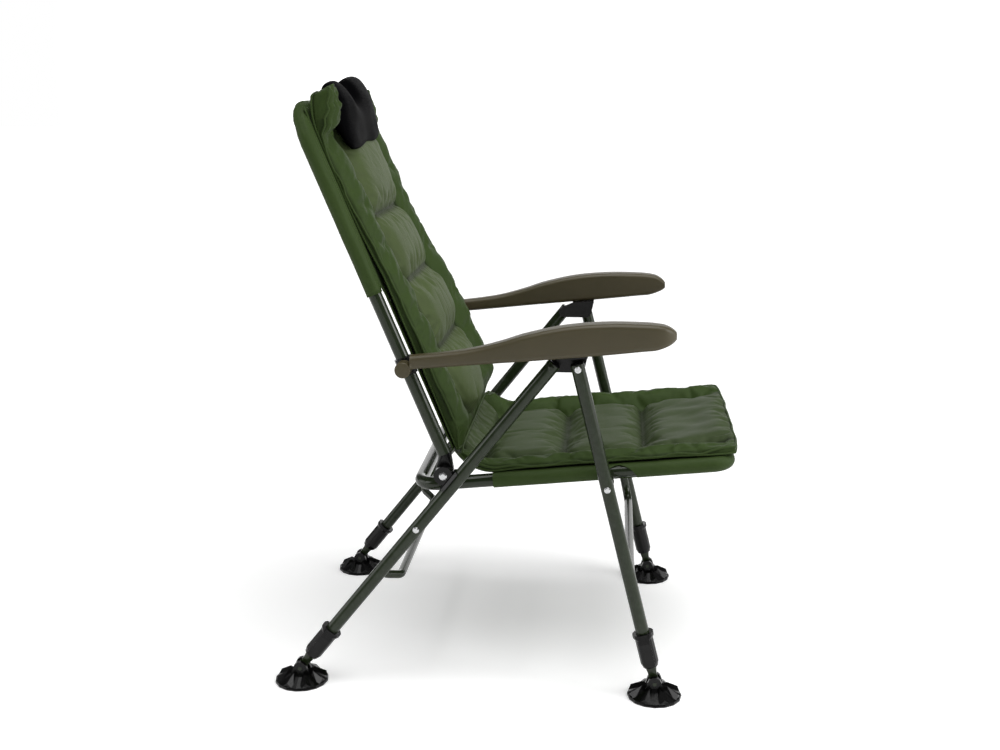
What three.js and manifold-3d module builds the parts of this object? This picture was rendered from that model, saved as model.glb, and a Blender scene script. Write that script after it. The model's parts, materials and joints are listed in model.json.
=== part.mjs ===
// Carp fishing chair: folding steel frame, padded seat and back, headrest pillow, armrests and four mud feet.
// Millimetres. +X points forwards, +Y to the sitter's left and +Z up.
// A side is 1 on the left, -1 on the right.
import * as THREE from 'three';
import Module from 'manifold-3d';
import { mergeVertices } from 'three/addons/utils/BufferGeometryUtils.js';

const wasm = await Module();
wasm.setup();

// Clearance between touching pieces, and how far welded shapes run into each other.
const GAP = 0.3;
const WELD = 1;

// Frame tubes, their wall, and the thinner stretcher bars.
const TUBE_R = 12.5;
const WALL = 1.5;
const REAR_BAR_R = 8;
const FRONT_BAR_R = 9;
const TUBE_SIDES = 14;
const BAR_SIDES = 12;
const PIN_SIDES = 10;
const BEND_STEPS = 4;

// Side-view points, measured forwards from the middle between the feet and upwards from the floor.
const HINGE_X = -55.3;
const HINGE_Z = 418;
const FRONT_PIVOT_Z = 404;
const ARM_PIN_X = 188.8;
const ARM_PIN_Z = 624.6;
const ARM_PIN_DISTANCE = 47.8;
const FRONT_FOOT_X = 339;
const REAR_FOOT_X = -333;
const FOOT_PIVOT_Z = 30;
const REAR_BAR_PIN_Z = 315;

// Seat frame, built level and then tilted about the hinge line by these degrees.
// SEAT_UNDER is how far its tubes lie under that line.
const SEAT_TILT = 5.8;
const SEAT_UNDER = 29;
const SEAT_HALF = 248;
const SEAT_REAR_X = -112;
const SEAT_FRONT_X = 463;
const SEAT_BEND_R = 45;
const BUTT_GAP = 1;
const LUG_R = 12;
const LUG_T = 3;
const LUG_FOOT_SHARE = 0.7;
const WASHER_T = 2;

// Back frame: lean from the vertical, where its axis crosses the hinge line, and distances along it.
const BACK_LEAN = THREE.MathUtils.degToRad(22.7);
const BACK_AHEAD = 12.1;
const BACK_STEP_OUT = 20;
const BACK_HALF = SEAT_HALF + BACK_STEP_OUT;
const BACK_TUBE_FROM = 32;
const BACK_TOP = 705;
const BACK_BEND_R = 70;
const CLAMP_AT = 210.4;

// Fabric that wraps the tubes.
const FABRIC_T = 2;
const SLING_REAR_X = 20;
const SLING_ARCH_R = 24;
const SLING_ARCH_DROP = 12;
const SLING_SAG = 28;
// Lines of the sagging sheet, as shares of its length from the rear and of its half width.
const SHEET_ROW_SHARES = [0, 0.4, 0.79, 0.87, 0.94, 1];
const SHEET_COLUMN_SHARES = [-1, -0.95, -0.87, -0.74, -0.56, -0.3, 0.3, 0.56, 0.74, 0.87, 0.95, 1];
const SAG_FADE = 90;
const SLEEVE_FROM = 352;

// Legs and stretchers.
const REAR_LEG_OUT = 0.3;
const FRONT_LEG_OUT = 6.8;
const LEG_TOP_PAST = 8;
const REAR_BAR_X = -148;
const REAR_BAR_Z = 197;
const REAR_BAR_RUN_LENGTH = 130;
const FRONT_BAR_Z = 196;
const FRONT_BAR_BACK = 6;
const REAR_BAR_INSET = 43;
const REAR_BEND_R = 24;
const BAR_BEND_R = 36;
const EYE_T = 4;
const EYE_R = 12;

// Rivets, hinge discs and the rear leg bracket.
const RIVET_R = 4;
const HEAD_R = 6;
const HINGE_HEAD_R = 7.5;
const HEAD_T = 2.4;
const HEAD_SHARE = 0.35;
const DOME_SHARE = 0.6;
const DISC_R = 17.5;
const PLUG_LEN = 34;
const PLUG_LIP = 4;
const SADDLE_LEN = 44;
const SADDLE_T = 3;
const SADDLE_SHARE = 0.75;
const CAP_T = 2;

// Armrest and its bracket.
const ARM_CLEAR = 4;
const ARM_INNER = BACK_HALF + TUBE_R + ARM_CLEAR;
const ARM_WIDE = 42;
const ARM_DEEP = 56;
const ARM_ROOT = 13.3;
const ARM_TIP_AHEAD = 169.2;
const ARM_NARROW = 27;
const ARM_ROUND = 7;
const ROUND_SHARE = 0.45;
const KNUCKLE_R = 14.6;
const DRUM_R = 11;
const DRUM_LEN = 16;
const CLAMP_WALL = 3.2;
const CLAMP_LEN = 34;
const PLATE_T = 3.5;
const FLANGE_T = 3;
const PLATE_HALF = 17;
const FLANGE_SHARE = 0.8;
// Armrest stations from rear to tip: shares of its length, of its depth for the top and the underside,
// and of its width.
const ARM_LINE_SHARES = [
  [0, 0.329, -0.118, 0.643], [0.117, 0.436, -0.029, 0.69], [0.236, 0.596, 0.079, 0.786],
  [0.353, 0.864, 0.186, 0.905], [0.436, 1.096, 0.257, 1], [0.585, 1.382, 0.382, 1.024],
  [0.736, 1.507, 0.507, 1.024], [0.889, 1.507, 0.65, 1], [0.955, 1.418, 0.757, 0.905],
  [0.987, 1.257, 0.9, 0.667], [1, 1.132, 0.989, 0.333],
];
// The straight run of the underside, as places in the list above, that carries the bracket.
const UNDER_FROM = 4;
const UNDER_TO = 6;

// Height-adjustable feet, measured up the leg from the foot pivot.
const COLLAR_FROM = 32;
const COLLAR_LEN = 68;
const COLLAR_SEAT = 28;
const COLLAR_R = 17;
const COLLAR_LIP = 3;
const LEVER_LEN = 46;
const LEVER_W = 20;
const LEVER_T = 6;
const INNER_LEG_TOP = 250;
const TONGUE_R = 8;
const TONGUE_HALF = 7;
const CHEEK_T = 8;
const CHEEK_R = 13;
const CHEEK_BASE_R = 19;
const FOOT_R = 51;
const FOOT_RIM = 6;
const FOOT_DOME = 21;
const PETALS = 8;
const PETAL_RISE = 7;

// Cushions and pillow.
const SEAT_PAD_REAR = 12;
const SEAT_PAD_FRONT = 485;
const SEAT_PAD_PAST = 2;
const SEAT_PAD_HALF = SEAT_HALF + SEAT_PAD_PAST;
const SEAT_PAD_T = 32;
const SEAT_CROWN = 4;
const BACK_PAD_FROM = 19;
const BACK_PAD_TO = 725;
const BACK_PAD_INSIDE = 16;
const BACK_PAD_HALF = BACK_HALF - BACK_PAD_INSIDE;
const BACK_PAD_T = 31;
const BACK_CROWN = 10;
const PAD_BORDER = 62;
const CHANNEL_DEPTH = 9;
const BORDER_DEPTH = 12;
const CORNER_SHARE = 0.035;
const CHANNEL_W = 12;
const EDGE_LINES = [3, 13, 32];
const LINES_APART = 95;
const SEAT_CHANNELS = [160, 311];
const BACK_CHANNELS = [187, 342, 479];
const PILLOW_HALF = 185;
const PILLOW_FROM = 608;
const PILLOW_TO = 732;
const PILLOW_T = 24;
const PILLOW_SINK = 5;
const PILLOW_ROWS = 10;
const PILLOW_PROBES = 20;

const UP = new THREE.Vector3(0, 0, 1);
const BORE_R = TUBE_R - WALL;
const at = (x, y, z) => new THREE.Vector3(x, y, z);

// Points and directions in the side view that follow from the sizes above.
const HINGE = at(HINGE_X, 0, HINGE_Z);
const SEAT_Z = HINGE_Z - SEAT_UNDER;
const ARM_PIN = at(ARM_PIN_X, 0, ARM_PIN_Z);
const REAR_TOP_PIN = at(ARM_PIN_X - ARM_PIN_DISTANCE, 0, ARM_PIN_Z);
const FRONT_FOOT = at(FRONT_FOOT_X, 0, FOOT_PIVOT_Z);
const REAR_FOOT = at(REAR_FOOT_X, 0, FOOT_PIVOT_Z);
const onLine = (a, b, z) => a.clone().lerp(b, (z - a.z) / (b.z - a.z));
const FRONT_PIVOT = onLine(FRONT_FOOT, ARM_PIN, FRONT_PIVOT_Z);
const REAR_BAR_PIN = onLine(REAR_FOOT, REAR_TOP_PIN, REAR_BAR_PIN_Z);
const FRONT_UP = ARM_PIN.clone().sub(FRONT_FOOT).normalize();
const REAR_UP = REAR_TOP_PIN.clone().sub(REAR_FOOT).normalize();
const BACK_UP = at(-Math.sin(BACK_LEAN), 0, Math.cos(BACK_LEAN));
const BACK_OUT = at(Math.cos(BACK_LEAN), 0, Math.sin(BACK_LEAN));
const onBack = (t, n, y = 0) => HINGE.clone()
  .addScaledVector(BACK_UP, t)
  .addScaledVector(BACK_OUT, BACK_AHEAD + n)
  .setY(y);
const CLAMP = onBack(CLAMP_AT, 0);

// Distances from the middle plane, stacked outwards from the seat tube.
const LUG_IN = SEAT_HALF + TUBE_R - WELD;
const LUG_OUT = LUG_IN + LUG_T + WELD;
const WASHER_IN = LUG_OUT + GAP;
const PLUG_IN = WASHER_IN + WASHER_T + GAP;
const PLUG_OUT = BACK_HALF + TUBE_R;
const REAR_LEG_Y = PLUG_OUT + REAR_LEG_OUT + GAP + TUBE_R;
const FRONT_LEG_Y = REAR_LEG_Y + FRONT_LEG_OUT;
const REAR_BAR_Y = REAR_LEG_Y - TUBE_R - GAP - REAR_BAR_R;
const FRONT_BAR_Y = FRONT_LEG_Y - TUBE_R - GAP - FRONT_BAR_R;
const PLATE_OUT = REAR_LEG_Y - TUBE_R - GAP;

// A route made of straights and round bends, given by its corners and one bend radius for each inner corner.
class Route extends THREE.Curve {
  constructor(corners, radii) {
    super();
    this.stops = [corners[0].clone()];
    this.ways = [corners[1].clone().sub(corners[0]).normalize()];
    for (let i = 1; i < corners.length - 1; i += 1) {
      const before = corners[i].clone().sub(corners[i - 1]).normalize();
      const after = corners[i + 1].clone().sub(corners[i]).normalize();
      const turn = before.angleTo(after);
      const reach = radii[i - 1] * Math.tan(turn / 2);
      const start = corners[i].clone().addScaledVector(before, -reach);
      const inward = after.clone().addScaledVector(before, -before.dot(after)).normalize();
      for (let k = 0; k <= BEND_STEPS; k += 1) {
        const angle = turn * k / BEND_STEPS;
        this.stops.push(start.clone()
          .addScaledVector(before, radii[i - 1] * Math.sin(angle))
          .addScaledVector(inward, radii[i - 1] * (1 - Math.cos(angle))));
        this.ways.push(before.clone()
          .multiplyScalar(Math.cos(angle))
          .addScaledVector(inward, Math.sin(angle)));
      }
    }
    this.stops.push(corners[corners.length - 1].clone());
    this.ways.push(corners[corners.length - 1].clone().sub(corners[corners.length - 2]).normalize());
  }

  get steps() {
    return this.stops.length - 1;
  }

  getPointAt(u) {
    return this.stops[Math.round(u * this.steps)].clone();
  }

  getTangentAt(u) {
    return this.ways[Math.round(u * this.steps)].clone();
  }

  getSpacedPoints() {
    return this.stops.map((stop) => stop.clone());
  }
}

// A solid made by manifold-3d from a three.js geometry, turned right side out when its faces point inwards.
function solid(geometry) {
  const bare = new THREE.BufferGeometry()
    .setAttribute('position', (geometry.index ? geometry.toNonIndexed() : geometry).getAttribute('position'));
  const merged = mergeVertices(bare, GAP / 100);
  const vertProperties = merged.attributes.position.array;
  const corners = Array.from(merged.index.array);
  const skin = (order) => new wasm.Mesh({ numProp: 3, vertProperties, triVerts: new Uint32Array(order) });
  const made = new wasm.Manifold(skin(corners));
  return made.volume() > 0 ? made : new wasm.Manifold(skin(corners.reverse()));
}

function geometryOf(body) {
  const mesh = body.getMesh();
  return new THREE.BufferGeometry()
    .setAttribute('position', new THREE.BufferAttribute(new Float32Array(mesh.vertProperties), 3))
    .setIndex(new THREE.BufferAttribute(new Uint32Array(mesh.triVerts), 1));
}

// A geometry whose own Z runs from one point towards another, starting at the first.
function aim(geometry, from, towards) {
  const turn = new THREE.Quaternion().setFromUnitVectors(UP, towards.clone().sub(from).normalize());
  return geometry.applyQuaternion(turn).translate(from.x, from.y, from.z);
}

// A turned solid between two points, from pairs of radius and distance along the line.
function turned(pairs, from, towards, sides = TUBE_SIDES) {
  const profile = pairs.map(([r, d]) => new THREE.Vector2(r, d));
  const geometry = new THREE.LatheGeometry(profile, sides).rotateX(Math.PI / 2);
  return solid(aim(geometry, from, towards));
}

function rod(r, from, to, sides = TUBE_SIDES) {
  const length = from.distanceTo(to);
  return turned([[0, 0], [r, 0], [r, length], [0, length]], from, to, sides);
}

function ring(inner, outer, from, to, sides = TUBE_SIDES) {
  const length = from.distanceTo(to);
  return turned([[inner, 0], [outer, 0], [outer, length], [inner, length], [inner, 0]], from, to, sides);
}

// A bent tube along a route, hollow when an inner radius is given.
function bentTube(route, outer, inner = 0, sides = TUBE_SIDES, innerSides = sides) {
  const circle = (r, count) => Array.from({ length: count }, (_, i) => new THREE.Vector2(
    r * Math.cos(2 * Math.PI * i / count),
    r * Math.sin(2 * Math.PI * i / count),
  ));
  const shape = new THREE.Shape(circle(outer, sides));
  if (inner > 0) {
    shape.holes.push(new THREE.Path(circle(inner, innerSides).reverse()));
  }
  const settings = { steps: route.steps, extrudePath: route, bevelEnabled: false };
  return solid(new THREE.ExtrudeGeometry(shape, settings));
}

// A side-view outline, given by points with X and Z, that fills the space between two distances across.
function slab(points, from, to) {
  const shape = new THREE.Shape(points.map((p) => new THREE.Vector2(p.x, p.z)));
  const geometry = new THREE.ExtrudeGeometry(shape, { depth: to - from, bevelEnabled: false, steps: 1 });
  const upright = new THREE.Matrix4().set(1, 0, 0, 0, 0, 0, 1, from, 0, 1, 0, 0, 0, 0, 0, 1);
  return solid(geometry.applyMatrix4(upright));
}

const across = (p, y) => at(p.x, y, p.z);
const acrossRod = (r, p, from, to, sides = TUBE_SIDES) => rod(r, across(p, from), across(p, to), sides);
const drill = (p, from, to, r = RIVET_R + GAP, sides = PIN_SIDES) => acrossRod(r, p, from, to, sides);
const joined = (...bodies) => bodies.reduce((whole, body) => whole.add(body));

// The main body of a solid, without slivers that a cut along a curved face leaves beside it.
const mainBody = (body) => body.decompose().sort((a, b) => b.volume() - a.volume())[0];

const chair = new THREE.Group();

// Names one piece and gives it its colour and surface.
function piece(name, body, look) {
  const mesh = new THREE.Mesh(geometryOf(body), new THREE.MeshStandardMaterial(look));
  mesh.name = name;
  chair.add(mesh);
}

// Adds the left piece, and its mirror image across the middle plane as the right one.
function pair(name, body, look) {
  piece(name + '_L', body, look);
  piece(name + '_R', body.mirror([0, 1, 0]), look);
}

const GREEN_PAINT = { color: 0x2a352b, roughness: 0.35, metalness: 0.3 };
const BLACK_PLASTIC = { color: 0x1a1a1a, roughness: 0.45, metalness: 0 };
const ZINC = { color: 0xd8d8d8, roughness: 0.3, metalness: 1 };
const BORDER_FABRIC = { color: 0x3e4d2b, roughness: 0.85, metalness: 0 };
const PAD_FABRIC = { color: 0x55603f, roughness: 0.8, metalness: 0 };
const PILLOW_FABRIC = { color: 0x1e1e1e, roughness: 0.7, metalness: 0 };
const ARM_PLASTIC = { color: 0x5c5546, roughness: 0.6, metalness: 0 };

// The seat is built level: where its leg pivot lies then, and the turn about the hinge line that tilts
// a finished piece.
const ACROSS = at(0, 1, 0);
const levelPivot = FRONT_PIVOT.clone().sub(HINGE)
  .applyAxisAngle(ACROSS, THREE.MathUtils.degToRad(SEAT_TILT))
  .add(HINGE);
const tilted = (body) => body.translate(HINGE.clone().negate().toArray())
  .rotate([0, -SEAT_TILT, 0])
  .translate(HINGE.toArray());

// Seat frame: one bent tube loop, closed in the middle of the front bar, with a welded hinge lug standing up
// and a welded leg lug hanging down on each side.
const seatCorners = [
  at(SEAT_FRONT_X, BUTT_GAP / 2, SEAT_Z),
  at(SEAT_FRONT_X, SEAT_HALF, SEAT_Z),
  at(SEAT_REAR_X, SEAT_HALF, SEAT_Z),
  at(SEAT_REAR_X, -SEAT_HALF, SEAT_Z),
  at(SEAT_FRONT_X, -SEAT_HALF, SEAT_Z),
  at(SEAT_FRONT_X, -BUTT_GAP / 2, SEAT_Z),
];
const seatBends = [SEAT_BEND_R, SEAT_BEND_R, SEAT_BEND_R, SEAT_BEND_R];
const seatRoute = new Route(seatCorners, seatBends);
let seatFrame = bentTube(seatRoute, TUBE_R, BORE_R, TUBE_SIDES, TUBE_SIDES / 2);
for (const side of [1, -1]) {
  const inner = side * LUG_IN;
  const outer = side * LUG_OUT;
  for (const pin of [HINGE, levelPivot]) {
    const lug = wasm.Manifold.hull([
      acrossRod(LUG_R, pin, inner, outer),
      acrossRod(LUG_R * LUG_FOOT_SHARE, at(pin.x, 0, SEAT_Z), inner, outer),
    ]);
    seatFrame = seatFrame.add(lug).subtract(drill(pin, inner + side * WELD, outer + side * WELD));
  }
}
piece('seat_frame_tube', tilted(seatFrame), GREEN_PAINT);

// Grid lines over a cushion as shares of its half size: close together at the rim and at each seam.
function gridLines(reach, seams = []) {
  const border = [PAD_BORDER - CHANNEL_W, PAD_BORDER, PAD_BORDER + CHANNEL_W];
  const half = [0, ...EDGE_LINES, ...border].map((d) => reach - d);
  const marks = [...half, ...half.map((d) => -d), ...seams.flatMap((d) => [d - CHANNEL_W, d, d + CHANNEL_W])];
  const lines = marks.sort((p, q) => p - q);
  return lines.flatMap((d, i) => {
    const next = i + 1 < lines.length ? lines[i + 1] : d;
    const parts = Math.max(1, Math.ceil((next - d) / LINES_APART));
    return Array.from({ length: parts }, (_, k) => (d + (next - d) * k / parts) / reach);
  });
}

// A cushion over a grid, from where each grid point lies and the heights of its two faces.
function cushion(rows, columns, place, top, bottom) {
  const points = [];
  const indices = [];
  const [last, end] = [rows.length - 1, columns.length - 1];
  const rim = (i, j) => i === 0 || j === 0 || i === last || j === end;
  const key = (i, j, face) => ((rim(i, j) || face ? 0 : rows.length) + i) * columns.length + j;
  for (const face of [top, bottom]) {
    for (let i = 0; i <= last; i += 1) {
      for (let j = 0; j <= end; j += 1) {
        const [a, b] = [rows[i], columns[j]];
        points.push(...place(a, b, rim(i, j) ? (top(a, b) + bottom(a, b)) / 2 : face(a, b)));
      }
    }
  }
  for (const face of [1, 0]) {
    for (let i = 0; i < last; i += 1) {
      for (let j = 0; j < end; j += 1) {
        const corners = [key(i, j, face), key(i + 1, j, face), key(i + 1, j + 1, face), key(i, j + 1, face)];
        const [p, q, r, s] = face ? corners : corners.reverse();
        indices.push(p, q, r, p, r, s);
      }
    }
  }
  const geometry = new THREE.BufferGeometry();
  geometry.setAttribute('position', new THREE.BufferAttribute(new Float32Array(points), 3));
  geometry.setIndex(indices);
  return solid(geometry);
}

// Seat sling: a fabric sheet over the tubes, sewn into sleeves, with an arched opening at each front
// leg pivot.
const slingCorners = [
  at(SLING_REAR_X, SEAT_HALF, SEAT_Z),
  at(SEAT_FRONT_X, SEAT_HALF, SEAT_Z),
  at(SEAT_FRONT_X, -SEAT_HALF, SEAT_Z),
  at(SLING_REAR_X, -SEAT_HALF, SEAT_Z),
];
const SLEEVE_IN = TUBE_R + GAP;
const SLEEVE_OUT = SLEEVE_IN + FABRIC_T;
const slingRoute = new Route(slingCorners, [SEAT_BEND_R, SEAT_BEND_R]);
const sheetZ = SEAT_Z + SLEEVE_IN;
const sag = (x, y) => SLING_SAG * (1 - Math.min(1, Math.abs(y) / SEAT_HALF) ** 4)
  * Math.sin(Math.PI / 2 * Math.min(1, Math.max(0, (SEAT_FRONT_X - x) / SAG_FADE)));
const sheetLength = SEAT_FRONT_X - SLING_REAR_X;
const sheetRows = [SLING_REAR_X - TUBE_R, ...SHEET_ROW_SHARES.map((k) => SLING_REAR_X + k * sheetLength)];
const sheetBetween = (rows, columns, low, high) => cushion(
  rows,
  columns,
  (x, y, z) => [x, y, z - sag(x, y)],
  () => sheetZ + high,
  () => sheetZ + low,
);
const sheetShape = new THREE.Shape();
sheetShape.moveTo(SLING_REAR_X, -SEAT_HALF);
sheetShape.lineTo(SEAT_FRONT_X - SEAT_BEND_R, -SEAT_HALF);
sheetShape.absarc(SEAT_FRONT_X - SEAT_BEND_R, SEAT_BEND_R - SEAT_HALF, SEAT_BEND_R, -Math.PI / 2, 0);
sheetShape.absarc(SEAT_FRONT_X - SEAT_BEND_R, SEAT_HALF - SEAT_BEND_R, SEAT_BEND_R, 0, Math.PI / 2);
sheetShape.lineTo(SLING_REAR_X, SEAT_HALF);
const cutDepth = 2 * SLING_SAG + TUBE_R;
const cutSettings = { depth: cutDepth, bevelEnabled: false, curveSegments: BEND_STEPS };
const cutOutline = new THREE.ExtrudeGeometry(sheetShape, cutSettings)
  .translate(0, 0, sheetZ + TUBE_R - cutDepth);
const sheetColumns = SHEET_COLUMN_SHARES.map((k) => k * SEAT_HALF);
let seatSling = bentTube(slingRoute, SLEEVE_OUT, SLEEVE_IN)
  .add(sheetBetween(sheetRows, sheetColumns, 0, FABRIC_T)
    .intersect(solid(cutOutline))
    .subtract(bentTube(slingRoute, SLEEVE_IN)));
for (const side of [1, -1]) {
  const centre = levelPivot.clone().setZ(SEAT_Z - SLING_ARCH_DROP);
  const inner = side * SEAT_HALF;
  const outer = side * (SEAT_HALF + 2 * SLEEVE_OUT);
  seatSling = seatSling.subtract(acrossRod(SLING_ARCH_R, centre, inner, outer));
}
piece('seat_sling', tilted(mainBody(seatSling)), BORDER_FABRIC);

// Height shares across a cushion: full in the middle and rounded off towards the rim, with a groove
// at a seam.
const lens = (s, power) => Math.sqrt(Math.max(0, 1 - Math.abs(s) ** power));
const groove = (distance) => Math.max(0, 1 - (distance / CHANNEL_W) ** 2);
const rounded = (a, b) => [
  a * (1 - CORNER_SHARE * b ** 8 * a ** 2),
  b * (1 - CORNER_SHARE * a ** 8 * b ** 2),
];
function seamDepth(a, b, reach, half, position, seams) {
  const edge = Math.min(reach * (1 - Math.abs(a)), half * (1 - Math.abs(b)));
  const inside = edge > PAD_BORDER ? 1 : 0;
  const cross = inside * Math.max(...seams.map((c) => groove(position - c)));
  return Math.max(BORDER_DEPTH * groove(edge - PAD_BORDER), CHANNEL_DEPTH * cross);
}

// Seat cushion: raised panels inside a flatter border, divided by two cross channels.
const seatMid = (SEAT_PAD_REAR + SEAT_PAD_FRONT) / 2;
const seatReach = (SEAT_PAD_FRONT - SEAT_PAD_REAR) / 2;
const seatBase = sheetZ + FABRIC_T + GAP;
function seatTop(a, b) {
  const seam = seamDepth(a, b, seatReach, SEAT_PAD_HALF, seatMid + seatReach * a, SEAT_CHANNELS);
  const swell = SEAT_CROWN * lens(a, 2) * lens(b, 2);
  return seatBase + SEAT_PAD_T / 2 + (SEAT_PAD_T / 2 + swell - seam) * lens(a, 10) * lens(b, 10);
}
const seatUnder = (a, b) => seatBase + SEAT_PAD_T / 2 * (1 - lens(a, 14) * lens(b, 14));
const seatPlace = (a, b, z) => {
  const [u, v] = rounded(a, b);
  const [x, y] = [seatMid + seatReach * u, SEAT_PAD_HALF * v];
  return [x, y, z - sag(x, y)];
};
const seatRows = gridLines(seatReach, SEAT_CHANNELS.map((c) => c - seatMid));
const wider = (lines) => [lines[0] - SAG_FADE, ...lines, lines[lines.length - 1] + SAG_FADE];
const sheetAndBelow = sheetBetween(wider(sheetRows), wider(sheetColumns), -cutDepth, FABRIC_T + GAP);
const seatCushion = cushion(seatRows, gridLines(SEAT_PAD_HALF), seatPlace, seatTop, seatUnder)
  .subtract(sheetAndBelow)
  .subtract(bentTube(slingRoute, SLEEVE_OUT + GAP));
piece('seat_cushion', tilted(mainBody(seatCushion)), PAD_FABRIC);

// Hinge washers between the seat lugs and the back frame.
const washerEnds = [across(HINGE, WASHER_IN), across(HINGE, WASHER_IN + WASHER_T)];
pair('hinge_washer', ring(RIVET_R + GAP, LUG_R, ...washerEnds), BLACK_PLASTIC);

// Back frame: one tube bent into an arch.
const backCorners = [
  onBack(BACK_TUBE_FROM, 0, BACK_HALF),
  onBack(BACK_TOP, 0, BACK_HALF),
  onBack(BACK_TOP, 0, -BACK_HALF),
  onBack(BACK_TUBE_FROM, 0, -BACK_HALF),
];
const backBends = [BACK_BEND_R, BACK_BEND_R];
piece('back_frame_tube', bentTube(new Route(backCorners, backBends), TUBE_R, BORE_R), GREEN_PAINT);

// Hinge plugs: a disc on the hinge line that runs into a collar and a spigot in the end of the back tube.
const plugTop = BACK_TUBE_FROM - GAP;
const hingeDisc = acrossRod(DISC_R, HINGE, PLUG_IN, PLUG_OUT);
const plugCollar = rod(TUBE_R, onBack(plugTop - PLUG_LIP, 0, BACK_HALF), onBack(plugTop, 0, BACK_HALF));
const hingePlug = wasm.Manifold.hull([hingeDisc, plugCollar]).trimByPlane([0, 1, 0], PLUG_IN)
  .add(plugCollar)
  .add(rod(BORE_R - GAP, onBack(plugTop - WELD, 0, BACK_HALF), onBack(plugTop + PLUG_LEN, 0, BACK_HALF)))
  .subtract(drill(HINGE, PLUG_IN - WELD, PLUG_OUT + WELD));
pair('back_hinge_plug', hingePlug, BLACK_PLASTIC);

// Back sleeve: the fabric cover over the arch, with a sheet between its sides that carries the cushion.
const sleeveCorners = [
  onBack(SLEEVE_FROM, 0, BACK_HALF),
  onBack(BACK_TOP, 0, BACK_HALF),
  onBack(BACK_TOP, 0, -BACK_HALF),
  onBack(SLEEVE_FROM, 0, -BACK_HALF),
];
const sleeveRoute = new Route(sleeveCorners, backBends);
const BACK_SHEET_HALF = BACK_HALF - TUBE_R - FABRIC_T;
const BACK_SHEET_FROM = BACK_TUBE_FROM - PLUG_LIP;
const sheetOnBack = (half, from, to) => {
  const box = new THREE.BoxGeometry(FABRIC_T, 2 * half, to - from);
  box.translate(SLEEVE_IN + FABRIC_T / 2, 0, (from + to) / 2);
  box.rotateY(-BACK_LEAN);
  const origin = onBack(0, 0);
  return solid(box.translate(origin.x, 0, origin.z));
};
const backSleeve = bentTube(sleeveRoute, SLEEVE_OUT, SLEEVE_IN)
  .add(sheetOnBack(BACK_HALF - BACK_BEND_R / 4, SLEEVE_FROM, BACK_TOP - BACK_BEND_R / 4)
    .subtract(bentTube(sleeveRoute, SLEEVE_IN)))
  .add(sheetOnBack(BACK_SHEET_HALF, BACK_SHEET_FROM, SLEEVE_FROM + WELD));
piece('back_sleeve', backSleeve, BORDER_FABRIC);

// Back cushion: a long padded panel with drawn-in sides and three cross channels.
const backMid = (BACK_PAD_FROM + BACK_PAD_TO) / 2;
const backReach = (BACK_PAD_TO - BACK_PAD_FROM) / 2;
const backBase = SLEEVE_OUT + GAP;
function backTop(a, b) {
  const seam = seamDepth(a, b, backReach, BACK_PAD_HALF, backMid + backReach * a, BACK_CHANNELS);
  const swell = BACK_CROWN * lens(a, 2) * lens(b, 2);
  return backBase + BACK_PAD_T / 2 + (BACK_PAD_T / 2 + swell - seam) * lens(a, 12) * lens(b, 10);
}
const backUnder = (a, b) => backBase + BACK_PAD_T / 2 * (1 - lens(a, 16) * lens(b, 14));
const backPlace = (a, b, n) => {
  const [u, v] = rounded(a, b);
  return onBack(backMid + backReach * u, n, BACK_PAD_HALF * v).toArray();
};
const backRows = gridLines(backReach, BACK_CHANNELS.map((c) => c - backMid));
const backCushion = cushion(backRows, gridLines(BACK_PAD_HALF), backPlace, backTop, backUnder);
piece('back_cushion', backCushion, PAD_FABRIC);

// Headrest pillow: a plump bolster on the front of the back cushion near its top.
const pillowMid = (PILLOW_FROM + PILLOW_TO) / 2;
const pillowReach = (PILLOW_TO - PILLOW_FROM) / 2;
const probes = Array.from({ length: 2 * PILLOW_PROBES + 1 }, (_, i) => i / PILLOW_PROBES - 1);
const underPillow = probes.flatMap((i) => probes.map((j) => {
  const t = pillowMid + pillowReach * i;
  return backTop(Math.min(1, (t - backMid) / backReach), PILLOW_HALF / BACK_PAD_HALF * j);
}));
const pillowSeat = Math.max(...underPillow) - PILLOW_SINK;
const pillowTop = (a, b) => pillowSeat + PILLOW_T / 3 + 2 * PILLOW_T / 3 * lens(a, 3) * lens(b, 4);
const pillowUnder = (a, b) => pillowSeat + PILLOW_T / 3 * (1 - lens(a, 6) * lens(b, 8));
const pillowPlace = (a, b, n) => {
  const [u, v] = rounded(a, b);
  return onBack(pillowMid + pillowReach * u, n, PILLOW_HALF * v).toArray();
};
const pillowRest = backCushion.translate(BACK_OUT.clone().multiplyScalar(2 * GAP).toArray());
const pillowRows = Array.from({ length: PILLOW_ROWS + 1 }, (_, i) => -Math.cos(Math.PI * i / PILLOW_ROWS));
const pillow = cushion(pillowRows, pillowRows, pillowPlace, pillowTop, pillowUnder).subtract(pillowRest);
piece('headrest_pillow', pillow, PILLOW_FABRIC);

// Rear legs: straight tubes, each with a bracket hooked over it at the hinge and a cap in its top end.
const legTube = (foot, up, top, y) => {
  const low = across(foot.clone().addScaledVector(up, COLLAR_FROM + COLLAR_SEAT + GAP), y);
  const high = across(top.clone().addScaledVector(up, LEG_TOP_PAST), y);
  return ring(BORE_R, TUBE_R, low, high);
};

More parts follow.
